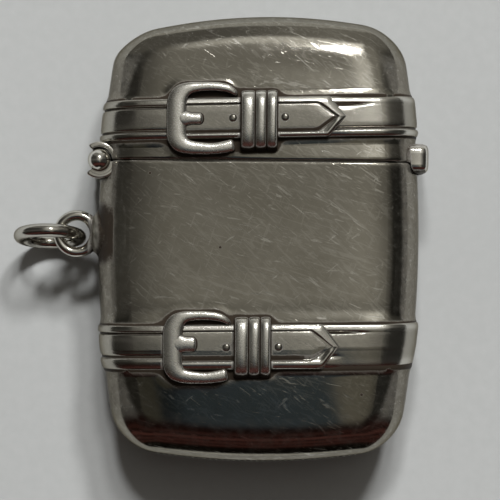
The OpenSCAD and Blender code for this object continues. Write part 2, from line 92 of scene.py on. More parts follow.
def angle(name, description, degrees):
    """An angle property whose default is given in degrees."""
    return FloatProperty(name=name, description=description, default=math.radians(degrees),
                         subtype="ANGLE", unit="ROTATION")


def share(name, description, default):
    """A plain number, most often from 0 to 1."""
    return FloatProperty(name=name, description=description, default=default, precision=4)


def colour(name, description, default):
    """A colour in linear light."""
    return FloatVectorProperty(name=name, description=description, default=default,
                               subtype="COLOR", size=3, min=0, max=1)


class CaseSizes(PropertyGroup):
    """Sizes of the two shells."""
    wall: length("Wall", "Sheet thickness of the shells", 0.6)
    corner_radius: length("Corner radius", "Radius of the corners in plan", 5.4)
    cap_start: length("Cap start", "Height over the middle where the end caps start", 17.4)
    side_bow: length("Side bow", "Radius of the bow of the long sides", 115)
    end_bow: length("End bow", "Radius of the bow of the two ends", 90)
    side_roll: length("Side roll", "Width of the rolled shoulder along the sides", 3.5)
    end_roll: length("End roll", "Width of the rolled shoulder along the ends", 4.2)
    side_band: length("Side band", "Straight band at mid thickness along the sides", 0.6)
    end_band: length("End band", "Straight band at mid thickness along the ends", 4)
    lid_arch: length("Lid arch", "Fall of the lid's end at its corners by wear", 0.98)
    lid_skew: angle("Lid skew", "Lean of the lid's end, down to the hinge", 1.5)
    lid_short: length("Lid wear", "Fall of the whole of the lid's end by wear", 0.22)
    base_arch: length("Base arch", "Fall of the base's end at its corners by wear", 0.42)
    lip: length("Mouth lip", "Depth of the rounded edges at the parting line", 0.15)
    lip_reach: length("Lip reach", "Width of the rounded edges at the parting line", 0.32)
    flare: length("Flare", "Rise of the lid to its mouth in the right half", 0.15)
    crown: length("Crown", "Swell of the front and back faces in the middle", 0.06)
    side_fall: length("Side fall", "Fall of the faces at the shoulders of the sides", 0.24)
    side_reach: length("Side reach", "Width over which the faces fall to the sides", 6.5)
    end_fall: length("End fall", "Fall of the faces at the shoulders of the ends", 0.42)
    end_reach: length("End reach", "Width over which the faces fall to the ends", 10)
    skirt: length("Skirt", "Rise of the sheet where it is drawn up to a strap", 0.17)
    skirt_reach: length("Skirt reach", "Width of that rise", 0.8)
    mound: length("Mound", "Rise of the sheet round a buckle and a keeper", 0.13)
    mound_reach: length("Mound reach", "Width of that rise", 1.1)
    foot: length("Foot", "Rise of the body's front down to its strap", 0.26)
    foot_reach: length("Foot reach", "Width of that rise", 2.8)
    worked: length("Hand work", "Height of the slow waves left by hand work and wear", 0.012)


class ReliefSizes(PropertyGroup):
    """Sizes of the straps and of what is on them."""
    strap: length("Strap", "Thickness of a strap on the case", 0.4)
    rail: length("Rail", "Crest of a rail, in from the strap's edge", 0.62)
    groove: length("Groove", "Middle of a groove, in from the strap's edge", 0.88)
    groove_depth: length("Groove depth", "Depth of a groove", 0.17)
    field: length("Field", "Field between the rails, below their crests", 0.12)
    pillow: length("Pillow", "Swell of a field from its edges to its middle", 0.09)
    pillow_reach: length("Pillow reach", "Width of that swell", 0.9)
    upper_slant: angle("Upper slant", "Lean of the upper strap", 1.5)
    lower_slant: angle("Lower slant", "Lean of the lower strap", 0.9)
    upper_tilt: angle("Upper tilt", "Turn of the upper strap's right part to the lid", 5)
    lower_tilt: angle("Lower tilt", "Turn of the lower strap's right part to the lid", 0.5)
    end_thickness: length("Strap end", "Thickness of a pointed strap end", 0.2)
    end_reach: length("Strap end reach", "Point of a strap end, from its buckle", 17.9)
    point: length("Point", "Length of the pointed part of a strap end", 1.75)
    border: length("Border", "Width of a strap end's border along its sides", 0.62)
    field_point: length("Field point", "Length of the pointed part of its field", 2.05)
    field_tip: length("Field tip", "Tip of its field, back from its point", 0.8)
    stud: length("Stud", "Radius of a stud", 0.43)
    stud_height: length("Stud height", "Height of a stud over its field", 0.19)
    buckle_top: length("Buckle top", "Crest of a buckle over the case", 0.98)
    buckle_corner: length("Buckle corner", "Radius of a buckle's corners", 1.7)
    keeper_top: length("Keeper top", "Crest of a keeper over the case", 1.42)
    keeper_corner: length("Keeper corner", "Radius of a keeper's corners", 0.5)
    rib: length("Rib", "Swell of a keeper's ribs", 0.15)
    rib_notch: length("Rib notch", "Depth of the notches between a keeper's ribs", 0.12)


class FittingSizes(PropertyGroup):
    """Sizes of the hinge, the mouth rim, the striker and the ring."""
    knuckle: length("Knuckle", "Radius of the hinge knuckles", 1.15)
    pin: length("Pin", "Radius of the hinge pin", 0.45)
    pin_clear: length("Pin clearance", "Running clearance round the pin", 0.03)
    leaf: length("Leaf", "Outer radius of the half-round leaves", 1.91)
    leaf_clear: length("Leaf clearance", "Room between a leaf and a knuckle", 0.14)
    middle_knuckle: length("Middle knuckle", "Length of the lid's knuckle", 2.6)
    knuckle_gap: length("Knuckle gap", "Room between two knuckles", 0.06)
    lid_leaf: angle("Lid leaf", "Sweep of the lid's leaf round the pin", 127)
    body_leaf: angle("Body leaf", "Sweep of the body's leaf round the pin", 135)
    rim: length("Mouth rim", "Sheet thickness of the mouth rim", 0.35)
    rim_clear: length("Rim clearance", "Room between the mouth rim and the lid", 0.14)
    loop_wire: length("Loop wire", "Radius of the loop's wire", 0.54)
    ring_wire: length("Ring wire", "Radius of the ring's wire", 0.69)
    seat_height: length("Seat height", "Height of the loop's seat over the side", 0.62)
    striker_pitch: length("Striker pitch", "Spacing of the striker's ribs", 0.6)
    striker_rib: length("Striker rib", "Height of a striker rib", 0.18)


class SilverLook(PropertyGroup):
    """Colours and gloss of the silver."""
    bright: colour("Bright", "Silver that hands keep clean", (0.95, 0.93, 0.865))
    dull: colour("Dull", "Silver under a film of tarnish", (0.296, 0.277, 0.232))
    # This colour paints both the dirt in the hollows and painted shade on steep flanks, below the
    # straps and on the rolled sides.
    grime: colour("Grime", "Dirt and dark sulphide in the hollows", (0.035, 0.027, 0.020))
    edge: colour("Glancing", "Silver seen at a glancing angle", (0.38, 0.36, 0.32))
    shell_gloss: share("Shell roughness", "Roughness of the smooth shells", 0.07)
    relief_gloss: share("Relief roughness", "Roughness of the worn relief", 0.20)


class StageLook(PropertyGroup):
    """Floor, light and camera."""
    floor: colour("Floor", "Colour of the floor", (0.462, 0.472, 0.467))
    lamps: FloatProperty(name="Lamps", description="Power of the lamps that light the floor",
                         default=37, unit="POWER")
    lamp_away: length("Lamp distance", "Distance of the lamps from the case", 1700)
    lamp_size: length("Lamp size", "Width of a lamp", 220)
    camera_height: length("Camera height", "Camera above the middle of the case", 205)
    view_width: length("View width", "Width of the picture at the middle of the case", 52.1)
    camera_x: length("Camera x", "Camera to the right of the middle of the case", -0.87)
    camera_y: length("Camera y", "Camera towards the lid from the middle of the case", -1.25)
    camera_roll: angle("Camera roll", "Turn of the camera about its own axis", 0.45)


class MatchCase(PropertyGroup):
    """Everything that can be set."""
    case: PointerProperty(type=CaseSizes, name="Case", description="Sizes of the shells")
    relief: PointerProperty(type=ReliefSizes, name="Relief", description="Sizes of the straps")
    fitting: PointerProperty(type=FittingSizes, name="Fittings",
                             description="Sizes of the hinge, the ring and the mouth")
    silver: PointerProperty(type=SilverLook, name="Silver", description="Colours and gloss")
    stage: PointerProperty(type=StageLook, name="Stage", description="Floor, light and camera")


def smoothstep(low, high, value):
    """0 below low, 1 above high, and 3t^2 - 2t^3 between them."""
    t = np.clip((value - low) / (high - low), 0, 1)
    return t * t * (3 - 2 * t)


def bell(distance, width):
    """1 at a distance of 0, falling on both sides as exp(-(distance / width)^2)."""
    return np.exp(-(distance / width) ** 2)


def rounded_off(inside, radius, exponent=2):
    """Rise from 0 at an edge to 1 at a radius inside it, as (1 - t^n)^(1/n) with t falling
    from 1 to 0. With n = 2 it is a quarter of a circle."""
    t = np.clip(1 - inside / radius, 0, 1)
    return (1 - t ** exponent) ** (1 / exponent)


def circle(count):
    """Angles evenly round a full turn."""
    return np.linspace(0, math.tau, count, endpoint=False)


def soft_min(a, b, reach):
    """Smaller of a and b, rounded off where they are within reach of each other."""
    t = np.clip(0.5 + 0.5 * (b - a) / reach, 0, 1)
    return b + (a - b) * t - reach * t * (1 - t)


def power(value, exponent):
    """Power of the size of a value, with the value's own sign."""
    return np.sign(value) * np.abs(value) ** exponent


def rounded_box(u, v, half_u, half_v, radius):
    """Distance of (u, v) from a rectangle with rounded corners, below 0 inside it."""
    du = np.abs(u) - half_u + radius
    dv = np.abs(v) - half_v + radius
    outside = np.hypot(np.maximum(du, 0), np.maximum(dv, 0))
    return outside + np.minimum(np.maximum(du, dv), 0) - radius


def spline(points, samples):
    """Smooth curve through points: between two of them a cubic whose slope at each point is
    half the step from the one before it to the one after it."""
    points = np.asarray(points, float)
    ends = (2 * points[:1] - points[1:2], points, 2 * points[-1:] - points[-2:-1])
    padded = np.concatenate(ends)
    at = np.linspace(0, len(points) - 1, samples)
    i = np.minimum(at.astype(int), len(points) - 2)
    t = (at - i)[:, None]
    a, b, c, d = padded[i], padded[i + 1], padded[i + 2], padded[i + 3]
    return 0.5 * (2 * b + (c - a) * t + (2 * a - 5 * b + 4 * c - d) * t ** 2
                  + (3 * b - a - 3 * c + d) * t ** 3)


def waves(x, y, z):
    """Slow unevenness from -1 to 1: a sum of five crossing sine waves, 4.5 to 11 mm long."""
    x, y, z = x / MM, y / MM, z / MM
    return (0.30 * np.sin(0.61 * x + 0.35 * y + 0.5) + 0.25 * np.sin(0.48 * y - 0.31 * x + 2.1)
            + 0.20 * np.sin(0.93 * x - 0.57 * y + 0.4 * z + 4.0)
            + 0.15 * np.sin(0.79 * y + 0.88 * z + 1.2) + 0.10 * np.sin(1.21 * x + 0.66 * y + 3.3))


def lumps(a, b):
    """Small lumps from -1 to 1 over two angles: a sum of four sine waves."""
    return (0.4 * np.sin(3 * a + 1.3 + b) + 0.3 * np.sin(5 * a - 0.7 - 2 * b)
            + 0.2 * np.sin(9 * a + 3 * b) + 0.1 * np.sin(14 * a + 0.4 - 5 * b))


class CaseForm:
    """The cushion form of the closed case.

    In plan it is bowed sides and ends joined by round corners. A point of the plan is known
    by its turn, the angle of the outline's normal. In section a quarter of an ellipse, the
    roll, leads from the straight band at mid thickness to the face. A point of the roll is
    known by its lift: 0 at the band and a right angle at the face.
    """

    def __init__(self, size):
        self.size = size
        body_low, body_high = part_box("body_front")
        lid_low, lid_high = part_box("lid_front")
        self.middle = np.array([0, (body_low[1] + lid_high[1]) / 2, body_low[2]])
        self.half_w = body_high[0]
        self.half_h = (lid_high[1] - body_low[1]) / 2
        self.half_t = body_high[2] - body_low[2]
        self.parting_y = (body_high[1] + lid_low[1]) / 2 - self.middle[1]
        self.parting = lid_low[1] - body_high[1]
        self.side_x0 = self.half_w - size.side_bow
        self.end_y0 = self.half_h - size.end_bow
        reach_side = size.side_bow - size.corner_radius
        reach_end = size.end_bow - size.corner_radius
        step = np.array([-self.side_x0, self.end_y0])
        apart = np.hypot(*step)
        along = (apart ** 2 + reach_side ** 2 - reach_end ** 2) / (2 * apart)
        up = math.sqrt(reach_side ** 2 - along ** 2)
        unit = step / apart
        across = np.array([-unit[1], unit[0]])
        self.corner = np.array([self.side_x0, 0]) + along * unit + up * across
        self.corner_from = math.atan2(self.corner[1], self.corner[0] - self.side_x0)
        self.corner_to = math.atan2(self.corner[1] - self.end_y0, self.corner[0])
        self.hinge = np.array([-self.wall_x(self.parting_y, 0.0), self.parting_y])
        self.hinge_half = self.box("hinge_leaf_body")[1][2]
        self.lay_stations()

    def box(self, node):
        """Low and high corner of a solid's box, in the case's frame."""
        return [np.array(corner) - self.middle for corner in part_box(node)]

    def first_quarter(self, turn):
        """Turn mirrored into the first quarter."""
        return np.abs(np.arcsin(np.clip(np.sin(turn), -1, 1)))

    def outline(self, turn, grow):
        """Point of the plan at a turn, grown outwards: the centre of the side's, the corner's
        or the end's arc plus its grown radius along the normal, mirrored into its quarter."""
        size = self.size
        first = self.first_quarter(turn)
        side, corner = first <= self.corner_from, first <= self.corner_to
        x0 = np.where(side, self.side_x0, np.where(corner, self.corner[0], 0))
        y0 = np.where(side, 0, np.where(corner, self.corner[1], self.end_y0))
        radius = np.where(side, size.side_bow, np.where(corner, size.corner_radius, size.end_bow))
        x = x0 + (radius + grow) * np.cos(first)
        y = y0 + (radius + grow) * np.sin(first)
        return np.sign(np.cos(turn)) * x, np.sign(np.sin(turn)) * y

    def side_share(self, turn):
        """1 along a side, 0 along an end, and a smooth change round the corner."""
        return 1 - smoothstep(self.corner_from, self.corner_to, self.first_quarter(turn))

    def roll_width(self, side):
        """Width of the roll for a share of the side."""
        return self.size.end_roll + (self.size.side_roll - self.size.end_roll) * side

    def draw_in(self, side, lift, grow):
        """How far the grown form stands out in plan: the roll's width times cos lift, less it."""
        return grow - (self.roll_width(side) + grow) * (1 - np.cos(lift))

    def rise(self, side, lift, grow):
        """Height of the grown form over mid thickness: the roll's depth times sin lift, on
        half the band."""
        band = self.size.end_band + (self.size.side_band - self.size.end_band) * side
        depth = self.half_t - band / 2
        return self.half_t + grow - (depth + grow) * (1 - np.sin(lift))

    def side_x(self, y, lift, grow):
        """Half width of the grown form at a height y, on the circle of the bowed side."""
        radius = self.size.side_bow + self.draw_in(1, lift, grow)
        return self.side_x0 + np.sqrt(radius ** 2 - y ** 2)

    def wall_x(self, y, z):
        """Half width of the form at a height y and a distance z from mid thickness."""
        depth = self.half_t - self.size.side_band / 2
        sine = np.clip(1 - (self.half_t - np.abs(z)) / depth, 0, 1)
        return self.side_x(y, np.arcsin(sine), 0.0)

    def crown(self, x, y):
        """Swell of a face: the crown times 1 - s^2 each way, less a fall towards the side and
        one towards the end, each the cube of how far a place is into its reach."""
        size = self.size
        across = np.clip(1 - (x / self.half_w) ** 2, 0, 1)
        swell = size.crown * across * np.clip(1 - (y / self.half_h) ** 2, 0, 1)
        side = self.side_x(y, RIGHT_ANGLE, 0.0) - np.abs(x)
        end = self.end_y0 + np.sqrt((size.end_bow - size.end_roll) ** 2 - x ** 2) - np.abs(y)
        side_fall = size.side_fall * np.clip(1 - side / size.side_reach, 0, 2) ** 3
        end_fall = size.end_fall * np.clip(1 - end / size.end_reach, 0, 2) ** 3
        return swell - side_fall - end_fall

    def roll_over(self, x, y, out_x, out_y, lift, roll):
        """What the crown adds on the roll beyond an edge point (x, y) of a face, with the
        outward direction given: the crown there times sin lift, and its slope there carried
        on over the roll's width as t(1 - t), where t is cos lift."""
        step = 0.02 * MM
        at = self.crown(x, y)
        slope = (at - self.crown(x - step * out_x, y - step * out_y)) / step
        t = np.cos(lift)
        return at * np.sin(lift) + slope * roll * t * (1 - t)

    def front(self, x, y):
        """Height of the front face over mid thickness."""
        return self.half_t + self.crown(x, y)

    def worn_end(self, x, y, end):
        """How far a place of an end has moved out by wear, where y counts outwards: a lean, an
        arch of x^2 and an even fall, coming in smoothly from the last belt row to the end."""
        size = self.size
        arch = size.lid_arch if end > 0 else size.base_arch
        fall = arch * (x / self.half_w) ** 2
        if end > 0:
            fall = fall + size.lid_short - math.tan(size.lid_skew) * x
        return -fall * smoothstep(self.cap_y, self.half_h, y)

    def lay_stations(self):
        """Columns of an end cap and the stations of a belt round the case, so that a belt
        and a cap meet point by point."""
        self.cap_y = self.size.cap_start
        trim = math.asin(self.cap_y / self.size.side_bow)
        turns = (trim, self.corner_from, self.corner_to, math.pi - self.corner_to,
                 math.pi - self.corner_from, math.pi - trim)
        columns = (SIDE_COLUMNS, CORNER_COLUMNS, END_COLUMNS, CORNER_COLUMNS, SIDE_COLUMNS)
        parts = [np.linspace(a, b, n, endpoint=False)
                 for a, b, n in zip(turns, turns[1:], columns)]
        self.cap_turn = np.concatenate(parts + [turns[-1:]])
        near = np.linspace(1, 0, SIDE_COLUMNS + 1)
        self.cap_bend = np.zeros(len(self.cap_turn))
        self.cap_bend[:len(near)] = near
        self.cap_bend[-len(near):] = -near[::-1]
        self.cap_trim = trim
        self.lifts = np.linspace(RIGHT_ANGLE, 0, ROLL_STEPS)
        self.bands = np.linspace(1, -1, 5)[1:-1]
        side = self.side_share(self.cap_turn)
        edge_x = self.outline(self.cap_turn, self.draw_in(side, RIGHT_ANGLE, 0.0))[0]
        self.across = edge_x / edge_x[0]
        self.across[0], self.across[-1] = 1, -1
        flat = np.full(len(self.across), RIGHT_ANGLE)
        roll, level = self.lifts[1:], np.zeros(len(self.bands))
        one = np.ones(len(roll))
        self.wide = np.concatenate([
            self.across, -one, -np.ones(len(level)), -one, self.across[::-1], one,
            np.ones(len(level)), one])
        self.deep = np.concatenate([
            np.ones(len(flat)), one, self.bands, -one, -np.ones(len(flat)), -one,
            self.bands[::-1], one])
        self.lift = np.concatenate([flat, roll, level, roll[::-1], flat, roll, level, roll[::-1]])

    def base_line(self, x):
        """Distance of the worn base from mid height."""
        y = self.end_y0 + np.sqrt(self.size.end_bow ** 2 - x ** 2)
        return y + self.worn_end(x, y, -1)

    def belt(self, y, grow):
        """Rows of points round the case. Each row has a height and an amount by which the form
        is grown, and each may change from station to station."""
        x = self.wide * self.side_x(y, self.lift, grow)
        z = self.deep * self.rise(1, self.lift, grow)
        y = y + np.zeros_like(x)
        edge = np.sign(self.wide) * self.side_x(y, RIGHT_ANGLE, grow)
        rolled = self.roll_over(edge, y, np.sign(self.wide), 0, self.lift, self.size.side_roll)
        added = np.where(self.lift < RIGHT_ANGLE, rolled, self.crown(x, y))
        return np.stack([x, y, z + np.sign(self.deep) * added], -1)

    def cap(self, end, grow):
        """End of the case beyond the last belt row, end is 1 at the lid and -1 at the base.
        A column runs from the face over the roll and the band to the other face."""
        lift = np.concatenate([self.lifts, 0 * self.bands, self.lifts[::-1]])
        deep = np.concatenate([np.ones(ROLL_STEPS), self.bands, -np.ones(ROLL_STEPS)])
        cut = np.arcsin(self.cap_y / (self.size.side_bow + self.draw_in(1, lift, grow)))
        turn = self.cap_turn[:, None] + self.cap_bend[:, None] * (cut - self.cap_trim)
        side = self.side_share(turn)
        x, y = self.outline(turn, self.draw_in(side, lift, grow))
        y[0], y[-1] = self.cap_y, self.cap_y
        added = self.roll_over(x[:, :1], y[:, :1], np.cos(turn), np.sin(turn), lift,
                               self.roll_width(side))
        z = deep * self.rise(side, lift, grow) + np.sign(deep) * added
        start = np.stack([self.across * x[0, 0], np.full(len(x), self.cap_y)], -1)[:, None]
        edge = np.stack([x[:, 0], y[:, 0]], -1)[:, None]
        t = np.linspace(0, 1, FACE_STEPS, endpoint=False)[:, None]
        inner = start + (edge - start) * t
        level = self.half_t + grow + self.crown(inner[..., 0], inner[..., 1])
        x = np.concatenate([inner[..., 0], x, inner[:, ::-1, 0]], 1)
        y = np.concatenate([inner[..., 1], y, inner[:, ::-1, 1]], 1)
        z = np.concatenate([level, z, -level[:, ::-1]], 1)
        return np.stack([x, end * (y + self.worn_end(x, y, end)), z], -1)


class Relief:
    """One strap with its buckle, keeper and pointed end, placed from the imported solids.

    Places along the strap are u, from the left edge of its buckle, and v, across it. The two
    straps differ in how far they are rubbed down (worn, fade), in the breadth of the rail
    towards the base (broad), and in how the parts lie and how thick the prong is."""

    def __init__(self, form, size, which):
        self.form = form
        self.size = size
        low, high = form.box("strap_" + which)
        self.y, self.half = (low[1] + high[1]) / 2, (high[1] - low[1]) / 2
        upper = which == "upper"
        self.body = "lid" if upper else "body"
        self.slant = math.tan(size.upper_slant if upper else size.lower_slant)
        self.tilt = math.tan(size.upper_tilt if upper else size.lower_tilt)
        self.worn = 0 if upper else 0.13 * MM
        self.fade = 0 if upper else 1
        self.broad = 1 if upper else 1.5
        self.bar_u = -0.14 * MM if upper else 0.14 * MM
        self.prong_v = 0 if upper else 0.35 * MM
        self.prong_width = 1 if upper else 1.3
        self.keeper_v = -0.3 * MM if upper else 0
        low, high = form.box("buckle_" + which)
        self.left = low[0]
        self.buckle = (high[0] - low[0], (high[1] - low[1]) / 2)
        low, high = form.box("keeper_" + which)
        self.keeper_u = (low[0] + high[0]) / 2 - self.left
        self.keeper = ((high[:2] - low[:2]) / 2).tolist()
        self.studs = {at: np.mean(form.box("stud_%s_%s" % (which, at)), 0)[0] - self.left
                      for at in ("inner", "outer")}

    def along(self, x, y):
        """(u, v) of a place in the case's frame."""
        return x - self.left, y - self.y - self.slant * x

    def place(self, u, v, height):
        """Place in the case's frame of (u, v) at a height over the front face."""
        x = u + self.left
        y = v + self.y + self.slant * x
        return np.stack([x + 0 * height, y + 0 * height, self.form.front(x, y) + height], -1)

    def lean(self, x, v):
        """Extra height of the strap where it turns to the lid: a slope across it that comes
        in smoothly from left to right."""
        return -self.tilt * v * smoothstep(5 * MM, 9.5 * MM, x)

    def inset(self, v):
        """Distance in from the nearer edge. On the side of the base, where the rail may be
        broader, it is brought to the measure of the other side."""
        inside = self.half - np.abs(v)
        broad = np.interp(inside, (0, RAIL_ZONE * self.broad, self.half),
                          (0, RAIL_ZONE, self.half))
        return np.where(v < 0, broad, inside)

    def pillow(self, inside):
        """Swell of a field at a distance in from its edge: a parabola that ends level."""
        left = 1 - np.clip(inside / self.size.pillow_reach, 0, 1)
        return self.size.pillow * (1 - left ** 2)

    def worn_away(self, x, v):
        """Share of the rails and grooves that is rubbed off towards the right."""
        return np.where(v < 0, self.fade * smoothstep(5.5 * MM, 9 * MM, x),
                        0.95 * smoothstep(8 * MM, 12 * MM, x))

    def band(self, x, y):
        """Distance outwards from the strap's edges."""
        return np.abs(self.along(x, y)[1]) - self.half

    def parts(self, x, y):
        """Distance outwards from the buckle's and from the keeper's outline."""
        u, v = self.along(x, y)
        long, half = self.buckle
        buckle = rounded_box(u - long / 2, v, long / 2, half, self.size.buckle_corner)
        keeper = rounded_box(u - self.keeper_u, v - self.keeper_v, *self.keeper,
                             self.size.keeper_corner)
        return buckle, keeper

    def figure(self, x, y):
        """Distance outwards from the strap, buckle and keeper taken as one soft outline."""
        buckle, keeper = self.parts(x, y)
        return soft_min(soft_min(self.band(x, y), buckle, 1.1 * MM), keeper, 1.1 * MM)


def grid_faces(rows, columns, wrap_rows, wrap_columns):
    """Corners of the four-sided faces of a grid of points, closed round either way if asked."""
    row = np.arange(rows if wrap_rows else rows - 1)[:, None]
    column = np.arange(columns if wrap_columns else columns - 1)[None, :]
    below, beside = (row + 1) % rows, (column + 1) % columns
    corners = (row * columns + column, row * columns + beside,
               below * columns + beside, below * columns + column)
    return np.stack(corners, -1).reshape(-1, 4)


def lay_mesh(name, grids, crease=38):
    """Mesh of one or more grids, each (points, wrap_rows, wrap_columns). Equal points are
    welded, faces turned outwards, and edges sharper than crease degrees kept sharp."""
    points, faces, start = [], [], 0
    for grid, wrap_rows, wrap_columns in grids:
        rows, columns = grid.shape[:2]
        points.append(grid.reshape(-1, 3))
        faces.append(grid_faces(rows, columns, wrap_rows, wrap_columns) + start)
        start += rows * columns
    points, faces = np.concatenate(points), np.concatenate(faces)
    mesh = bpy.data.meshes.new(name)
    mesh.vertices.add(len(points))
    mesh.vertices.foreach_set("co", points.astype(np.float32).ravel())
    mesh.loops.add(faces.size)
    mesh.loops.foreach_set("vertex_index", faces.astype(np.int32).ravel())
    mesh.polygons.add(len(faces))
    mesh.polygons.foreach_set("loop_start", np.arange(0, faces.size, 4, dtype=np.int32))
    mesh.update(calc_edges=True)
    net = bmesh.new()
    net.from_mesh(mesh)
    bmesh.ops.remove_doubles(net, verts=net.verts, dist=WELD)
    bmesh.ops.dissolve_degenerate(net, edges=net.edges, dist=WELD)
    bmesh.ops.recalc_face_normals(net, faces=net.faces)
    net.to_mesh(mesh)
    net.free()
    mesh.validate()
    finish_mesh(mesh, crease)
    return mesh


def finish_mesh(mesh, crease):
    """Smooth shading, apart from edges sharper than crease degrees."""
    mesh.polygons.foreach_set("use_smooth", np.ones(len(mesh.polygons), dtype=bool))
    mesh.set_sharp_from_angle(angle=math.radians(crease))
    mesh.update()


def carve(mesh, cutter, crease=38):
    """Mesh less another closed mesh, by a Boolean that is applied at once."""
    block = bpy.data.objects.new("carved", mesh)
    tool = bpy.data.objects.new("cutter", cutter)
    for item in (block, tool):
        bpy.context.scene.collection.objects.link(item)
    cut = block.modifiers.new("cut", "BOOLEAN")
    cut.operation, cut.solver, cut.object = "DIFFERENCE", "EXACT", tool
    graph = bpy.context.evaluated_depsgraph_get()
    result = bpy.data.meshes.new_from_object(block.evaluated_get(graph))
    for item in (block, tool):
        bpy.data.objects.remove(item)
    finish_mesh(result, crease)
    return result


def read_out(items, key):
    """A vector of each item, as rows of an array."""
    flat = np.empty(3 * len(items), dtype=np.float32)
    items.foreach_get(key, flat)
    return flat.reshape(-1, 3).astype(float)


def vertices(mesh):
    """The mesh's points as an array."""
    return read_out(mesh.vertices, "co")


def facing(mesh):
    """The surface's unit normals, as three arrays."""
    return read_out(mesh.vertex_normals, "vector").T


def tint(mesh, **fields):
    """Writes one number for each point of the mesh under each name."""
    for name, values in fields.items():
        layer = mesh.attributes.new(name, "FLOAT", "POINT")
        layer.data.foreach_set("value", np.clip(values, 0, 1).astype(np.float32))


def capped(loops):
    """Rows of closed loops with both open ends drawn together to their middles."""
    first = np.broadcast_to(loops[:1].mean(1, keepdims=True), loops[:1].shape)
    last = np.broadcast_to(loops[-1:].mean(1, keepdims=True), loops[-1:].shape)
    return np.concatenate([first, loops, last])


def revolve(profile, angles, centre):
    """Closed profile of (radius, z) turned about an axis along Z through centre."""
    x = centre[0] + profile[None, :, 0] * np.cos(angles)[:, None]
    y = centre[1] + profile[None, :, 0] * np.sin(angles)[:, None]
    z = np.broadcast_to(profile[None, :, 1], x.shape)
    return np.stack([x, y, z], -1)


def rounded_profile(r_low, r_high, z_low, z_high, radius):
    """Closed rectangle of (radius, z) with its corners rounded."""
    corners = ((r_high, z_low, -90), (r_high, z_high, 0), (r_low, z_high, 90), (r_low, z_low, 180))
    parts = []
    for r, z, start in corners:
        a = np.radians(np.linspace(start, start + 90, 6))
        r0 = r - radius if r == r_high else r + radius
        z0 = z - radius if z == z_high else z + radius
        parts.append(np.stack([r0 + radius * np.cos(a), z0 + radius * np.sin(a)], -1))
    return np.concatenate(parts)


class Wire:
    """An output of a material's nodes. Ordinary arithmetic on it adds Math nodes."""

    def __init__(self, bench, socket):
        self.bench = bench
        self.socket = socket

    def maths(self, operation, *values):
        """Math node of an operation on these values."""
        return self.bench.node("ShaderNodeMath", {"operation": operation}, dict(enumerate(values)))

    def __add__(self, other):
        return self.maths("ADD", self, other)

    def __radd__(self, other):
        return self.maths("ADD", other, self)

    def __sub__(self, other):
        return self.maths("SUBTRACT", self, other)

    def __rsub__(self, other):
        return self.maths("SUBTRACT", other, self)

    def __mul__(self, other):
        return self.maths("MULTIPLY", self, other)

    def __rmul__(self, other):
        return self.maths("MULTIPLY", other, self)

    def __abs__(self):
        return self.maths("ABSOLUTE", self)

    def limit(self):
        """The value kept between 0 and 1."""
        return self.maths("MINIMUM", self.maths("MAXIMUM", self, 0.0), 1.0)

    def between(self, low, high, to_low=0.0, to_high=1.0):
        """Smooth change from to_low to to_high as the value goes from low to high."""
        return self.bench.node(
            "ShaderNodeMapRange", {"interpolation_type": "SMOOTHSTEP"},
            {0: self, 1: low, 2: high, 3: to_low, 4: to_high})


class Bench:
    """The nodes of one material or world under construction."""

    def __init__(self, tree):
        self.tree = tree
        tree.nodes.clear()

    def node(self, kind, settings=None, values=None, out=0):
        """New node: its settings first, then the values or links of its sockets. A ramp's
        stops are given as the setting stops. Returns one of its outputs."""
        node = self.tree.nodes.new(kind)
        for key, value in (settings or {}).items():
            if key == "stops":
                ramp = node.color_ramp.elements
                for i, (place, tone) in enumerate(value):
                    stop = ramp[i] if i < 2 else ramp.new(place)
                    stop.position, stop.color = place, (*tone, 1)
            else:
                setattr(node, key, value)
        for key, value in (values or {}).items():
            if isinstance(value, Wire):
                self.tree.links.new(value.socket, node.inputs[key])
            else:
                node.inputs[key].default_value = value
        return Wire(self, node.outputs[out]) if node.outputs else None

    def mix(self, factor, a, b):
        """Colour a going to colour b."""
        full = [tuple(c) + (1,) if isinstance(c, tuple) else c for c in (a, b)]
        return self.node("ShaderNodeMix", {"data_type": "RGBA"},
                         {0: factor, 6: full[0], 7: full[1]}, out=2)

    def vector(self, operation, values, out=0):
        """Vector Math node."""
        return self.node("ShaderNodeVectorMath", {"operation": operation}, values, out)

    def field(self, name):
        """A number that the mesh carries at each point."""
        return self.node("ShaderNodeAttribute", {"attribute_name": name}, out=2)


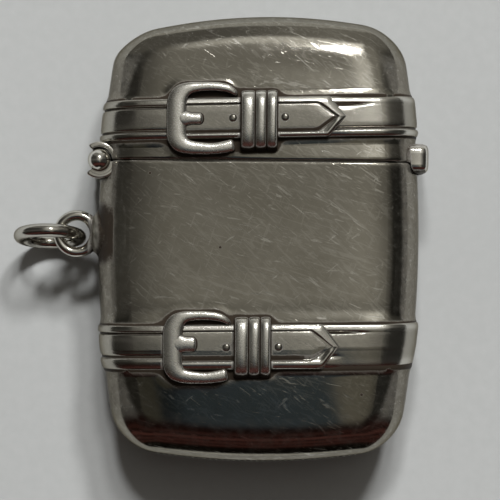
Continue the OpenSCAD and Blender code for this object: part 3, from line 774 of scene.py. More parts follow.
def silver(name, look, roughness, clean, scratch, grain, pits=()):
    """Old silver: a bright metal under an uneven film of tarnish, crossed by hairline
    scratches, with dark dirt and painted shade where the mesh's field of grime and painted
    shade says and a polish where its wear says.
    Clean is the share of the film that is rubbed off everywhere, scratch and grain are the
    strengths of the hairlines and of a cast surface. Pits are small dark holes in the front,
    each at (x, y) with a radius, in millimetres."""
    material = bpy.data.materials.new(name)
    material.use_nodes = True
    bench = Bench(material.node_tree)
    spot = bench.node("ShaderNodeTexCoord", out=3)

    def noise(scale, detail, vector=spot, rough=0.5):
        """Noise with so many blobs to the millimetre."""
        return bench.node("ShaderNodeTexNoise", None, {
            "Vector": vector, "Scale": scale / MM, "Detail": detail, "Roughness": rough})

    def hairlines(thin, turn, spacing, cut):
        """Thin lines along one direction: where a noise that is stretched along the line
        passes through its middle value, cut into lengths by a second noise."""
        def stretched(*lengths):
            """Place in a frame turned to the line, with the axes' lengths in millimetres."""
            return bench.node("ShaderNodeMapping", {"vector_type": "TEXTURE"}, {
                "Vector": spot, "Rotation": (0.0, 0.0, math.radians(turn)), "Scale": lengths})

        streak = noise(1.0, 1.0, stretched(45.0, spacing, spacing))
        pieces = noise(1.0, 2.0, stretched(1.7, 0.5, 0.5)).between(cut, cut + 0.06)
        return abs(streak - 0.5).between(0.0, thin, 1.0, 0.0) * pieces

    def scratches(thin, *lines):
        """Hairlines in several directions, each given as (turn, spacing, cut)."""
        first, *others = (hairlines(thin, *line) for line in lines)
        return sum(others, first).limit()

    deep = scratches(0.014, (-24, 1.3, 0.58), (-37, 1.1, 0.55), (38, 1.6, 0.62), (-10, 1.2, 0.56))
    fine = scratches(0.08, (-17, 0.26, 0.5), (-44, 0.30, 0.5), (70, 0.30, 0.58))
    cloud = noise(0.16, 4.0, rough=0.6)
    mottle = noise(0.9, 5.0, rough=0.65)
    speck = noise(7.0, 3.0, rough=0.7)
    film = (0.55 * cloud.between(0.35, 0.68) + 0.45 * mottle.between(0.38, 0.66)).limit()
    wear = bench.field("wear")
    # The mesh's field carries real dirt and painted shade alike; both darken the colour the same
    # way.
    grime = bench.field("grime")
    dirt_and_shade = (grime * (0.5 + 0.9 * mottle) + (grime * speck).between(0.3, 0.55) * 0.3)
    dirt_and_shade = dirt_and_shade.between(0.2, 0.9)
    flat = bench.vector("MULTIPLY", {0: spot, 1: (1, 1, 0)})
    for x, y, radius in pits:
        away = bench.vector("DISTANCE", {0: flat, 1: (x * MM, y * MM, 0)}, out=1)
        hole = away.between(0.7 * radius * MM, 1.2 * radius * MM, 1.0, 0.0)
        dirt_and_shade = dirt_and_shade.maths("MAXIMUM", dirt_and_shade, hole)
    tarnish = (1 - clean) * (0.92 + 0.08 * film) * (1 - 0.65 * wear)
    tarnish = (tarnish * (1 - scratch * (0.36 * deep + 0.13 * fine))).limit()
    metal = bench.mix(tarnish, tuple(look.bright), tuple(look.dull))
    base = bench.mix(dirt_and_shade, metal, tuple(look.grime))
    rough = roughness + 0.04 * mottle + 0.03 * film + scratch * (0.10 * deep + 0.04 * fine)
    rough = (rough + 0.4 * dirt_and_shade * dirt_and_shade).limit()
    height = (0.04 * mottle + grain * (0.9 * speck + 0.7 * mottle)
              - scratch * (0.25 * deep + 0.05 * fine) - 0.3 * dirt_and_shade)
    bump = bench.node("ShaderNodeBump", None, {
        "Strength": 0.6, "Distance": 0.014 * MM, "Height": height})
    surface = bench.node("ShaderNodeBsdfPrincipled", None, {
        "Base Color": base, "Metallic": 1 - 0.92 * dirt_and_shade, "Roughness": rough, "Normal": bump,
        "Specular IOR Level": 0.2, "Specular Tint": (*look.edge, 1)})
    bench.node("ShaderNodeOutputMaterial", None, {"Surface": surface})
    return material


# Small holes in the front, each as its place from the middle of the case and its radius.
PITS = ((-11.1, 6.5, 0.16), (-3.9, -1.0, 0.15), (10.6, -15.9, 0.17))


def finish_of(kind):
    """The finish of one kind of piece, made when it is first asked for."""
    name = "worn_silver_" + kind
    if name in bpy.data.materials:
        return bpy.data.materials[name]
    look = bpy.context.scene.match_case.silver
    middle = case_form().middle / MM
    pits = [(x + middle[0], y + middle[1], r) for x, y, r in PITS]
    kinds = {
        "shell": dict(roughness=look.shell_gloss, clean=0.0, scratch=1.0, grain=0.0, pits=pits),
        "strap": dict(roughness=look.relief_gloss - 0.06, clean=0.12, scratch=0.6, grain=0.8),
        "fitting": dict(roughness=look.relief_gloss + 0.02, clean=0.95, scratch=0.5, grain=1.3),
        "solder": dict(roughness=look.relief_gloss + 0.2, clean=0.1, scratch=0.2, grain=1.4),
        "ring": dict(roughness=look.shell_gloss + 0.03, clean=0.5, scratch=0.5, grain=0.05),
    }
    return silver(name, look, **kinds[kind])


def hang(name, mesh, body, kind, nodes=()):
    """Puts a mesh into the scene as a piece: its place, its body, the solids that it stands
    for and its finish. If no solids are named, it stands for the one of its name."""
    form = case_form()
    points = vertices(mesh) + form.middle
    mesh.vertices.foreach_set("co", points.astype(np.float32).ravel())
    mesh.update()
    if "grime" not in mesh.attributes:
        tint(mesh, grime=np.zeros(len(points)), wear=np.zeros(len(points)))
    piece = bpy.data.objects.new("fine_" + name, mesh)
    bpy.context.scene.collection.objects.link(piece)
    mesh.materials.append(finish_of(kind))
    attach(piece, body)
    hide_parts(*(nodes or (name,)))
    return piece


def case_form():
    """The form of the case with the sizes that are set now."""
    return CaseForm(bpy.context.scene.match_case.case)


def reliefs(form):
    """The upper and the lower strap with what is on them."""
    size = bpy.context.scene.match_case.relief
    return {which: Relief(form, size, which) for which in ("upper", "lower")}


def drawn_up(distance, height, reach, bend):
    """Rise of the sheet at a distance outwards from a relief: a height times a power of what
    is left of the rise's reach."""
    return height * np.clip(1 - distance / reach, 0, 1) ** bend


def shell_mesh(form, relief, end, name):
    """Shell of the lid (end 1) or of the body (end -1): belts from the mouth to the start of
    the corners outside and inside, joined by a rounded lip, and a cap on each skin. The outer
    skin rises to the relief in front and carries slow waves of hand work."""
    size = form.size
    cut = form.parting_y + end * form.parting / 2
    last = end * form.cap_y
    edges = np.array([relief.y - relief.half, relief.y + relief.half])
    even = np.linspace(cut + end * size.lip_reach, last, 90)
    close = np.linspace(-1.6, 1.6, 40) * MM
    near = (edges[:, None] + close).ravel()
    inside = (np.abs(near - cut) > size.lip_reach) & (np.abs(near) < form.cap_y)
    rows = np.unique(np.concatenate([even, near[inside & ((near - cut) * end > 0)]]))
    least_step = 0.02 * MM
    keep = np.concatenate([[True], np.diff(rows) > least_step])
    keep[-1] = True
    rows = rows[keep]
    if end < 0:
        rows = rows[::-1]
    a = np.linspace(0, RIGHT_ANGLE, 6)
    lip_y = cut + end * size.lip_reach * (1 - np.sin(a))
    lip_in = size.lip * (1 - np.cos(a))
    inner = np.linspace(cut, last, 24)[2:]
    y = np.concatenate([rows[::-1], lip_y[1:], lip_y[::-1], inner])[:, None]
    grow = np.concatenate([0 * rows, -lip_in[1:], lip_in[::-1] - size.wall,
                           np.full(len(inner), -size.wall)])[:, None]
    outer = (np.arange(len(y)) < len(rows) + len(a) - 1)[:, None].astype(float)
    x = form.wide * form.side_x(y, form.lift, grow)
    toward_front = np.where(form.deep > 0, 1.0, np.cos(form.lift))
    lifted = drawn_up(relief.band(x, y), size.skirt, size.skirt_reach, 1.4)
    lifted = lifted * outer * toward_front
    belt = form.belt(y, grow + lifted)
    flat = np.where(form.deep > 0, np.sin(form.lift) ** 4, 0)
    buckle, keeper = relief.parts(belt[..., 0], belt[..., 1])
    around = soft_min(buckle, keeper + 0.4 * MM, 1.2 * MM)
    swell = drawn_up(around, size.mound, size.mound_reach, 2)
    if end < 0:
        foot = drawn_up(relief.band(x, y), size.foot, size.foot_reach, 2.3)
        swell = np.hypot(swell, foot * smoothstep(relief.y, relief.y + relief.half, y))
    extra = np.maximum(swell - lifted, 0) * outer * flat
    if end > 0:
        mouth = smoothstep(relief.y - relief.half, cut, belt[..., 1])
        right = smoothstep(-4 * MM, 8 * MM, belt[..., 0])
        extra = extra + size.flare * mouth * right * outer * flat
    belt[..., 2] += extra
    belt += work_over(form, belt) * outer[..., None]
    cap = form.cap(end, 0.0)
    cap += work_over(form, cap)
    return lay_mesh(name, [(belt, False, True), (cap, False, False),
                           (form.cap(end, -size.wall), False, False)])


def work_over(form, points):
    """Offsets of slow waves, outwards from mid thickness and less towards the outline."""
    x, y, z = np.moveaxis(points, -1, 0)
    up = smoothstep(1.5 * MM, form.half_t, np.abs(z)) * np.sign(z)
    offset = np.zeros_like(points)
    offset[..., 2] = form.size.worked * waves(x, y, z) * up
    return offset


def shell_fields(form, relief, mesh):
    """Grime, painted shade and wear of a shell: dirt lies along the relief and the parting line
    and round the hinge and the seat, painted shade below the strap and on the rolled sides,
    and the inside is made a little darker. A trace of wear is everywhere but beside the relief."""
    x, y, z = vertices(mesh).T
    front = smoothstep(-1 * MM, 2 * MM, z)
    d = np.where(z > 3.5 * MM, relief.figure(x, y), relief.band(x, y))
    near = bell(np.maximum(d, 0), 0.2 * MM)
    halo = bell(np.maximum(d, 0), 0.8 * MM)
    below = smoothstep(0.2 * MM, -0.2 * MM, y - relief.y)
    parting = bell(y - form.parting_y, 0.15 * MM)
    hinge = np.hypot(x - form.hinge[0], y - form.hinge[1])
    round_hinge = smoothstep(3.6 * MM, 1.7 * MM, hinge) * smoothstep(6 * MM, 3 * MM, np.abs(z))
    seat = np.hypot(y - np.mean(form.box("loop_seat"), 0)[1], 0.45 * z)
    round_seat = smoothstep(5.0 * MM, 2.4 * MM, seat) * smoothstep(-13 * MM, -14.5 * MM, x)
    # Below the strap the halo is made darker: painted shade under the relief.
    grime = (0.8 * near + (0.30 + 0.15 * below) * halo) * (0.4 + 0.6 * front)
    grime = np.maximum.reduce([grime, 0.95 * parting, 0.7 * round_hinge, 0.9 * round_seat])
    # The inside of the shell is made a little darker.
    inside = form.wall_x(y, z) - np.abs(x) > 0.35 * MM
    grime = np.where(inside & (np.abs(z) < form.half_t - 0.35 * MM), 0.25, grime)
    # Painted shade on the rolled shoulders of the long sides.
    edge = smoothstep(0.93, 0.80, np.abs(z) / form.half_t)
    edge = edge * smoothstep(21 * MM, 17 * MM, np.abs(y))
    grime = np.maximum(grime, 0.50 * edge)
    tint(mesh, grime=grime, wear=0.03 * (1 - halo))


def hinge_cutter(form, radius, half, name):
    """Round bar along the hinge, to carve the shells and the mouth rim with."""
    profile = np.array([(0, -half), (radius, -half), (radius, half), (0, half)])
    bar = revolve(profile, circle(96), form.hinge)
    return lay_mesh(name, [(bar, True, False)])


def strap_mesh(form, relief, name):
    """Strap all round the case: a closed profile carried round the form. In from an edge the
    height rises steeply, then in a quarter of a sine wave to the rail's crest, falls into a
    groove and swells in the field. The relief is rubbed off here and there, and towards the
    back it goes over into a plain band, which the case lies on."""
    size = relief.size
    half = relief.half
    q = np.concatenate([0.7 * MM * (1 - np.cos(np.linspace(0, RIGHT_ANGLE, 14))),
                        np.linspace(0.7 * MM, RAIL_ZONE, 14)[1:],
                        np.linspace(RAIL_ZONE, half, 9)[1:]])
    low = np.interp(q, (0, RAIL_ZONE, half), (0, RAIL_ZONE * relief.broad, half))
    v = np.concatenate([low - half, (half - q)[::-1][1:], [half, -half]])[:, None]
    q = np.concatenate([q, q[::-1][1:], [0, 0]])[:, None]
    steep = rounded_off(q, 0.2 * MM, 2.5)
    gentle = np.where(v < 0, 0.5, 0.34)
    slope = np.sin(RIGHT_ANGLE * np.clip(q / size.rail, 0, 1))
    ridge = size.strap * ((1 - gentle) * steep + gentle * slope)
    inward = size.field * smoothstep(size.rail, size.rail + 0.28 * MM, q)
    groove = size.groove_depth * bell(q - size.groove, 0.12 * MM)
    field = relief.pillow(q - size.groove) - inward - groove
    plain = size.strap * rounded_off(q, 0.4 * MM, 3.2)
    rubbed = (size.strap - size.field + size.pillow) * rounded_off(q, half)
    y = relief.y + v
    x = form.wide * form.side_x(y, form.lift, 0.0)
    worn = relief.worn_away(x, v)
    settled = (size.pillow - size.field) * smoothstep(size.rail, half, q)
    worked = np.where(v < 0, (ridge + field) * (1 - worn) + rubbed * worn,
                      ridge + field * (1 - worn) + settled * worn)
    fade = np.where(form.deep > 0, 1.0, np.cos(form.lift) ** 0.7)
    grow = plain + (worked - plain) * fade
    grow = grow + relief.lean(x, v) * np.where(form.deep > 0, np.sin(form.lift) ** 2, 0)
    grow[-2:] = -SUNK
    x = form.wide * form.side_x(y, form.lift, grow)
    belt = form.belt(y + relief.slant * x, grow)
    back = np.sign(form.deep) < 0
    flat_back = -(form.half_t + size.strap) - belt[..., 2]
    belt[..., 2] += np.where(back & (plain > 0.95 * size.strap), np.maximum(flat_back, 0), 0)
    belt[..., 2] += 0.4 * form.size.worked * waves(*np.moveaxis(belt, -1, 0)) * (~back)
    return lay_mesh(name, [(belt, True, True)], crease=60)


def strap_fields(relief, mesh):
    """Dirt in the grooves, at the edges and beside the buckle and the keeper, and painted shade
    within the buckle's eye; wear on the rails, but less at the left."""
    x, y, z = vertices(mesh).T
    size = relief.size
    v = relief.along(x, y)[1]
    q = relief.inset(v)
    groove = bell(q - size.groove, 0.10 * MM) * (1 - relief.worn_away(x, v))
    edge = bell(q, 0.10 * MM)
    buckle, keeper = relief.parts(x, y)
    part = np.minimum(np.abs(buckle), np.abs(keeper))
    close = bell(part, 0.3 * MM) * (z > 4 * MM)
    # Painted shade in the recess within the buckle's eye.
    eye_shade = smoothstep(0, -0.8 * MM, buckle) * (z > 4 * MM)
    front = smoothstep(-2 * MM, 2 * MM, z)
    grime = np.maximum.reduce([0.9 * groove * front, 0.8 * edge * (0.5 + 0.5 * front),
                               0.65 * close, 0.35 * eye_shade])
    rail = bell(q - 0.4 * MM, 0.3 * MM)
    tint(mesh, grime=grime, wear=0.2 + 0.8 * rail * smoothstep(-14 * MM, -6 * MM, x))


def end_lines(relief, u, v):
    """Two distances on a strap end: in from its outline, and into the field within its border.
    Both run along the strap and close in a point, the field's before the outline's."""
    size = relief.size
    side = relief.inset(v)
    room = relief.half - size.border * np.where(v < 0, relief.broad, 1)

    def slanted(tip, long, half):
        """Distance in from the two slanted sides of a point."""
        return ((tip - u) * half - long * np.abs(v)) / np.hypot(long, half)

    outer = slanted(size.end_reach, size.point, relief.half)
    inner = slanted(size.end_reach - size.field_tip, size.field_point, room)
    return soft_min(side, outer, 0.2 * MM), soft_min(side - size.border, inner, 0.2 * MM)


def strap_end_mesh(relief, name):
    """Pointed end of a strap. In from its outline the height rises steeply, then over the border
    in a quarter of a sine wave, or in half of one on the side of the base; at the field it
    falls, and the field swells like a pillow."""
    size = relief.size
    half, reach, point = relief.half, size.end_reach, size.point
    bend = reach - size.field_tip - size.field_point - 0.4 * MM
    u = np.concatenate([np.linspace(1.0 * MM, bend, 60), np.linspace(bend, reach - point, 30)[1:],
                        reach - point * (1 - np.linspace(0, 1, 46)[1:])])[:, None]
    width = half * np.clip((reach - u) / point, 0, 1) ** 0.97
    v = np.sin(np.linspace(-1, 1, 101) * RIGHT_ANGLE)[None] * width
    edge, field = end_lines(relief, u, v)
    steep = rounded_off(edge, 0.16 * MM, 2.5)
    part = np.clip(edge / (0.8 * MM), 0, 1)
    border = 0.4 * steep + 0.6 * np.sin(RIGHT_ANGLE * part)
    ridge = 0.3 * steep + 0.7 * np.sin(math.pi * part)
    border = border + (ridge - border) * smoothstep(0, -0.6 * MM, v)
    border = (size.end_thickness + 0.10 * MM) * border - 0.14 * MM * (1 - steep)
    pillow = 0.03 * MM + relief.pillow(field)
    height = border + (pillow - border) * smoothstep(-0.10 * MM, 0.06 * MM, field)
    height = height - 0.04 * MM * bell(field - 0.05 * MM, 0.08 * MM)
    worn = relief.worn * smoothstep(12.5 * MM, reach, u)
    rise = size.strap + height - worn * smoothstep(0, 0.2 * MM, edge)
    top = relief.place(u + 0 * v, v, rise + relief.lean(u + relief.left, v))
    low = relief.place(u + 0 * width, np.concatenate([width, -width], 1),
                       np.full((len(u), 2), size.strap - SUNK))
    loops = np.concatenate([top, low], 1)
    loops[-1] = loops[-1].mean(0)
    return lay_mesh(name, [(capped(loops), False, True)], crease=60)


def strap_end_fields(relief, mesh):
    """Dirt inside the border, and on the side of the base a painted shadow of the border
    inside it, dirt at the edge and beside the buckle, keeper and studs; wear on the border."""
    x, y, _ = vertices(mesh).T
    size = relief.size
    u, v = relief.along(x, y)
    edge, field = end_lines(relief, u, v)
    # On the side of the base the band inside the border is a painted shadow of the border; on the
    # other side it is dirt in a thin groove.
    groove = np.where(v < 0, smoothstep(-0.06 * MM, 0.02 * MM, field)
                      * smoothstep(0.50 * MM, 0.28 * MM, field),
                      0.8 * bell(field - 0.04 * MM, 0.09 * MM))
    rim = bell(edge, 0.09 * MM)
    close = bell(relief.parts(x, y)[1], 0.25 * MM)
    bar = bell(u - 1.5 * MM, 0.3 * MM)
    rings = [bell(np.hypot(u - at, v) - size.stud, 0.13 * MM) for at in relief.studs.values()]
    kept = 1 - relief.fade * smoothstep(13 * MM, 17 * MM, u) * np.where(v < 0, 0.6, 0.4)
    grime = np.maximum.reduce([0.9 * groove * kept, 0.7 * rim * kept, 0.8 * close, 0.7 * bar,
                               0.6 * rings[0], 0.6 * rings[1]])
    border = smoothstep(0.03 * MM, 0.15 * MM, edge) * smoothstep(0.02 * MM, -0.1 * MM, field)
    tint(mesh, grime=grime, wear=0.25 + 0.75 * border)


def stud_mesh(relief, at, name):
    """Small dome: a quarter of an ellipse turned about its axis, with a flared foot."""
    size = relief.size
    a = np.linspace(0, RIGHT_ANGLE, 10)
    r = np.concatenate([size.stud * np.sin(a), [1.08 * size.stud, 1.2 * size.stud, 0]])
    h = np.concatenate([size.stud_height * np.cos(a), [-0.04 * MM, -0.1 * MM, -0.12 * MM]])
    turn = circle(40)[:, None]
    lean = relief.lean(at + relief.left, r * np.sin(turn))
    field = size.strap + 0.05 * MM
    dome = relief.place(at + r * np.cos(turn), r * np.sin(turn), field + h + lean)
    mesh = lay_mesh(name, [(dome, True, False)])
    low = vertices(mesh)[:, 2] - relief.form.half_t - field
    tint(mesh, grime=0.3 + 0.5 * smoothstep(0.09 * MM, 0.0, low), wear=0 * low)
    return mesh


# Middle line of a buckle as u, v, width and share of the crest's height. It runs from the
# pointed end of the upper bar round the prong bar to the blunt end of the lower bar.
BUCKLE_LINE = (
    (6.82, 2.20, 0.40, 0.60), (6.45, 2.66, 0.70, 0.76), (5.75, 3.04, 0.92, 0.88),
    (4.50, 3.24, 1.00, 0.92), (3.00, 3.24, 1.08, 0.94), (2.00, 3.10, 1.34, 0.97),
    (1.28, 2.66, 1.86, 0.99), (0.88, 1.95, 2.02, 1.00), (0.80, 1.00, 2.02, 1.00),
    (0.80, 0.00, 2.00, 1.00), (0.80, -1.00, 2.02, 1.00), (0.88, -1.85, 2.02, 1.00),
    (1.28, -2.50, 1.86, 0.99), (2.00, -2.88, 1.50, 0.97), (3.20, -3.04, 1.32, 0.95),
    (4.40, -3.08, 1.22, 0.93), (5.60, -2.94, 1.28, 0.90), (6.66, -2.70, 1.32, 0.84))


def bar_mesh(relief, line, crest, name, blunt=0.42 * MM, dome=0.2):
    """Bar along a line of (u, v, width, share of crest): across the line its top is domed and
    its edges are round, it stands on a foot in the sheet, and it closes at both ends in a
    round tip. Across, with s from -1 to 1, the height is (1 - dome s^2.2)(1 - s^10)^(1/10)."""
    path = spline(np.asarray(line) * (MM, MM, MM, 1), 260)
    centre, width, height = path[:, :2], path[:, 2], path[:, 3] * crest
    run = np.concatenate([[0], np.cumsum(np.hypot(*np.diff(centre, axis=0).T))])
    left = np.minimum(run, run[-1] - run)
    tip = rounded_off(left, blunt)
    along = np.gradient(centre, axis=0)
    along /= np.hypot(*along.T)[:, None]
    normal = np.stack([-along[:, 1], along[:, 0]], -1)
    s = np.sin(np.linspace(-1, 1, 41) * RIGHT_ANGLE)
    up = (1 - dome * np.abs(s) ** 2.2) * (1 - np.abs(s) ** 10) ** 0.1
    side = np.concatenate([s, [1, -1]])[None] * (width * tip)[:, None] / 2
    foot = 0.25 * MM
    low = np.concatenate([0 * s, [-foot, -foot]])[None]
    u = centre[:, :1] + normal[:, :1] * side
    v = centre[:, 1:] + normal[:, 1:] * side
    up = np.concatenate([up, [0, 0]])[None]
    rise = height[:, None] * (0.35 + 0.65 * tip[:, None]) * up + low
    loops = relief.place(u, v, rise)
    return lay_mesh(name, [(capped(loops), False, True)], crease=70)


def bar_fields(mesh):
    """Painted shade on the steep flanks, wear on the crest."""
    up = facing(mesh)[2]
    tint(mesh, grime=smoothstep(0.83, 0.66, up), wear=smoothstep(0.70, 0.90, up))


def buckle_mesh(relief, crest, name):
    """Buckle frame: a bar along the buckle's line, whose prong bar may lie a little aside."""
    line = np.array(BUCKLE_LINE)
    line[:, 0] += relief.bar_u / MM * smoothstep(3.0, 1.0, line[:, 0])
    return bar_mesh(relief, line, crest, name)


def prong_mesh(relief, crest, name):
    """Prong: a bar that spreads at its root, from the back of the prong bar to its round end
    on the strap."""
    line = np.array(((0.55, 0.02, 1.2, 0.86), (1.0, 0.02, 1.5, 0.98), (1.6, 0.02, 1.6, 1.0),
                     (2.2, 0.0, 1.3, 1.0), (3.0, -0.02, 1.24, 0.98), (3.52, -0.03, 1.22, 0.94)))
    line[:, 1] += relief.prong_v / MM
    line[:, 2] *= relief.prong_width
    return bar_mesh(relief, line, crest, name, blunt=0.5 * MM)


# Notches between a keeper's three ribs, as shares of its half length.
RIB_SPLITS = (-0.22, 0.40)


def keeper_mesh(relief, name):
    """Ribbed keeper: an arch |y/a|^3 + |z/b|^3 = 1 across the strap, carried along it. Its
    size swells in each rib, dips in a notch between the ribs and rounds off at both ends."""
    size = relief.size
    half_u, half_v = relief.keeper
    splits = np.array([-1, *RIB_SPLITS, 1]) * half_u
    t = np.linspace(0, 1, 33)
    rows = np.unique(splits[:-1, None] + np.diff(splits)[:, None] * t)
    rib = np.clip(np.searchsorted(splits, rows, side="right") - 1, 0, 2)
    part = (rows - splits[rib]) / np.diff(splits)[rib]
    scallop = 1 - np.abs(2 * part ** 1.15 - 1) ** 2.4
    notch = sum(bell(rows - at, 0.07 * MM) for at in splits[1:-1])
    end = rounded_off(half_u - np.abs(rows), 0.34 * MM)
    drop = size.rib * (1 - scallop) + size.rib_notch * notch + 0.30 * MM * (1 - end)
    a = np.linspace(0, math.pi, 60)
    arch = 2 / 3
    v = power(np.cos(a), arch)[None] * (half_v - 0.6 * drop)[:, None]
    h = (np.sin(a) ** arch)[None] * (size.keeper_top - drop)[:, None]
    h = np.concatenate([h, np.full((len(rows), 2), -SUNK)], 1)
    v = np.concatenate([v, v[:, -1:], v[:, :1]], 1)
    loops = relief.place(relief.keeper_u + rows[:, None] + 0 * v, v + relief.keeper_v, h)
    return lay_mesh(name, [(capped(loops), False, True)], crease=50)


def keeper_fields(relief, mesh):
    """Dirt in the two grooves and low on the arch, with painted shade reaching higher on the
    side of the base, and painted shade on the ends and steep sides; wear on the ribs."""
    x, y, z = vertices(mesh).T
    u, v = relief.along(x, y)
    half_u = relief.keeper[0]
    place = u - relief.keeper_u
    groove = sum(bell(place - s * half_u, 0.07 * MM) for s in RIB_SPLITS)
    across, _, up = facing(mesh)
    h = z - relief.form.front(x, y)
    # Dirt at the foot of the arch; on the side of the base it reaches higher as painted shade.
    foot = smoothstep(1.0 * MM, 0.6 * MM, h + 0.2 * MM * np.sign(v))
    # Painted shade on the ends and steep sides, more on those that face left.
    painted_flank_shade = smoothstep(0.45, 0.7, np.maximum(-across, 0.8 * across))
    grime = np.maximum.reduce([0.95 * groove, 0.95 * foot, 0.95 * painted_flank_shade])
    tint(mesh, grime=grime, wear=smoothstep(0.6, 0.9, up))


def leaf_grids(form, size, start, stop, spans):
    """Half-round hinge leaf: a rounded strip turned about the pin from start to stop, with a
    tube on the pin and a web for each span of its knuckles. The web reaches into both."""
    half = form.hinge_half
    bore = size.knuckle + size.leaf_clear
    strip = rounded_profile(bore, size.leaf, -half, half, 0.2 * MM)
    turn = start + (stop - start) * np.linspace(0, 1, 56)
    near = np.minimum(np.abs(turn - start), np.abs(turn - stop))
    shrink = rounded_off(near, math.radians(5))[:, None, None]
    middle = np.array([(bore + size.leaf) / 2, 0])
    sections = middle + (strip - middle)[None] * (1 - (1 - shrink) * np.array([1.0, 0.06]))
    points = np.stack([form.hinge[0] + sections[..., 0] * np.cos(turn)[:, None],
                       form.hinge[1] + sections[..., 0] * np.sin(turn)[:, None],
                       sections[..., 1]], -1)
    grids = [(capped(points), False, True)]
    inset = math.radians(4) * np.sign(stop - start)
    part = np.linspace(start + inset, stop - inset, 48)
    into = 0.25 * MM
    for z0, z1 in spans:
        knuckle = rounded_profile(size.pin + size.pin_clear, size.knuckle, z0, z1, 0.07 * MM)
        grids.append((revolve(knuckle, circle(64), form.hinge), True, True))
        web = rounded_profile(size.knuckle - into, bore + into, z0, z1, 0.04 * MM)
        grids.append((capped(revolve(web, part, form.hinge)), False, True))
    return grids


def hinge_fields(form, mesh, radius):
    """Dirt inside the leaves and between the knuckles, wear on the outside."""
    x, y, _ = vertices(mesh).T
    r = np.hypot(x - form.hinge[0], y - form.hinge[1])
    tint(mesh, grime=0.75 * smoothstep(radius + 0.25 * MM, radius, r),
         wear=smoothstep(radius + 0.1 * MM, radius + 0.5 * MM, r))


def pin_mesh(form, size, name):
    """Hinge pin: a straight shaft with a ball at each end, turned about its own axis."""
    centre = form.box("hinge_pin")[1][2] - size.knuckle
    base = math.asin(size.pin / size.knuckle)
    a = np.linspace(math.pi - base, 0, 30)
    ball_r, ball_z = size.knuckle * np.sin(a), centre + size.knuckle * np.cos(a)
    flat = np.maximum(ball_z, centre)
    r = np.concatenate([ball_r[::-1], ball_r])
    z = np.concatenate([-flat[::-1], flat])
    profile = np.stack([r, z], -1)
    turned = revolve(profile, circle(64), form.hinge)
    return lay_mesh(name, [(turned, True, False)], crease=50)


def thumb_mesh(form, name):
    """Thumbpiece: a pillow |x/a|^n + |y/b|^n + |z/c|^m = 1 on the side of the lid, where n is
    4.8 and m is 5. Below the parting line its inner side keeps clear of the body's wall."""
    low, high = form.box("thumbpiece")
    out = high[0]
    inner = form.wall_x(form.parting_y, 0.0) - 0.45 * MM
    longer = 0.4 * MM
    centre = np.array([inner, (low[1] + high[1]) / 2, 0])
    half = np.array([out - inner, (high[1] - low[1]) / 2, (high[2] - low[2]) / 2 + longer])
    a = np.linspace(-RIGHT_ANGLE, RIGHT_ANGLE, 61)[:, None]
    b = np.linspace(-math.pi, math.pi, 120, endpoint=False)[None]
    soft, soft_end = 0.42, 0.4
    x = centre[0] + half[0] * power(np.cos(a), soft) * power(np.cos(b), soft)
    y = centre[1] + half[1] * power(np.cos(a), soft) * power(np.sin(b), soft)
    z = centre[2] + half[2] * power(np.sin(a), soft_end) + 0 * b
    free = form.wall_x(y, z) + 0.15 * MM
    x = np.where(y < form.parting_y + form.parting / 2, np.maximum(x, free), x)
    x = np.maximum(x, form.wall_x(y, z) - 0.3 * MM)
    return lay_mesh(name, [(np.stack([x, y, z], -1), False, True)], crease=40)


def loop_seat_mesh(form, size, name):
    """Seat of the loop: a low lumpy cone of solder whose height over the side falls with the
    distance from its axis."""
    y0 = np.mean(form.box("loop_seat"), 0)[1]
    profile = spline(((0.02, 0.66), (0.9, 0.66), (1.5, 0.62), (1.85, 0.46), (2.1, 0.22),
                      (2.4, 0.04), (2.75, -0.14)), 40) * MM
    r, h = profile[:, 0][:, None], profile[:, 1][:, None] * size.seat_height / (0.62 * MM)
    a = circle(120)[None]
    rough = smoothstep(0.9 * MM, 2.0 * MM, r)
    reach = r * (1 + 0.10 * rough * lumps(a, 0.0))
    y = y0 + reach * np.cos(a)
    z = 1.12 * reach * np.sin(a)
    height = h * (1 + 0.25 * rough * lumps(a + 0.8, 3 * r / MM))
    top = np.stack([-form.wall_x(y, z) - height, y, z], -1)
    bottom = np.stack([-form.wall_x(y[-1:], z[-1:]) + 0.3 * MM, y[-1:], z[-1:]], -1)
    grid = np.concatenate([top, bottom])
    return lay_mesh(name, [(capped(grid), False, True)], crease=70)


def tube(centre_line, normals, sides, radius, count=32):
    """Round wire along a line: at each point a circle in the plane of two unit vectors."""
    a = circle(count)[None, :, None]
    radius = np.broadcast_to(radius, len(centre_line))[:, None, None]
    around = np.cos(a) * normals[:, None] + np.sin(a) * sides[:, None]
    return centre_line[:, None] + radius * around


def loop_mesh(form, size, name):
    """Hanging loop: round wire bent to a circle in the plane of the front, which runs through
    the seat. The wire swells a little towards the seat."""
    low, high = form.box("loop")
    y0 = (low[1] + high[1]) / 2
    radius = (high[1] - low[1]) / 2 - size.loop_wire
    x0 = low[0] + size.loop_wire + radius
    a = circle(140)
    normal = np.stack([np.cos(a), np.sin(a), 0 * a], -1)
    line = np.array([x0, y0, 0]) + radius * normal
    side = np.broadcast_to([0, 0, 1.0], line.shape)
    swell = 1 + 0.12 * smoothstep(2.0, 2.5, np.abs(a - math.pi))
    return lay_mesh(name, [(tube(line, normal, side, size.loop_wire * swell), True, True)])


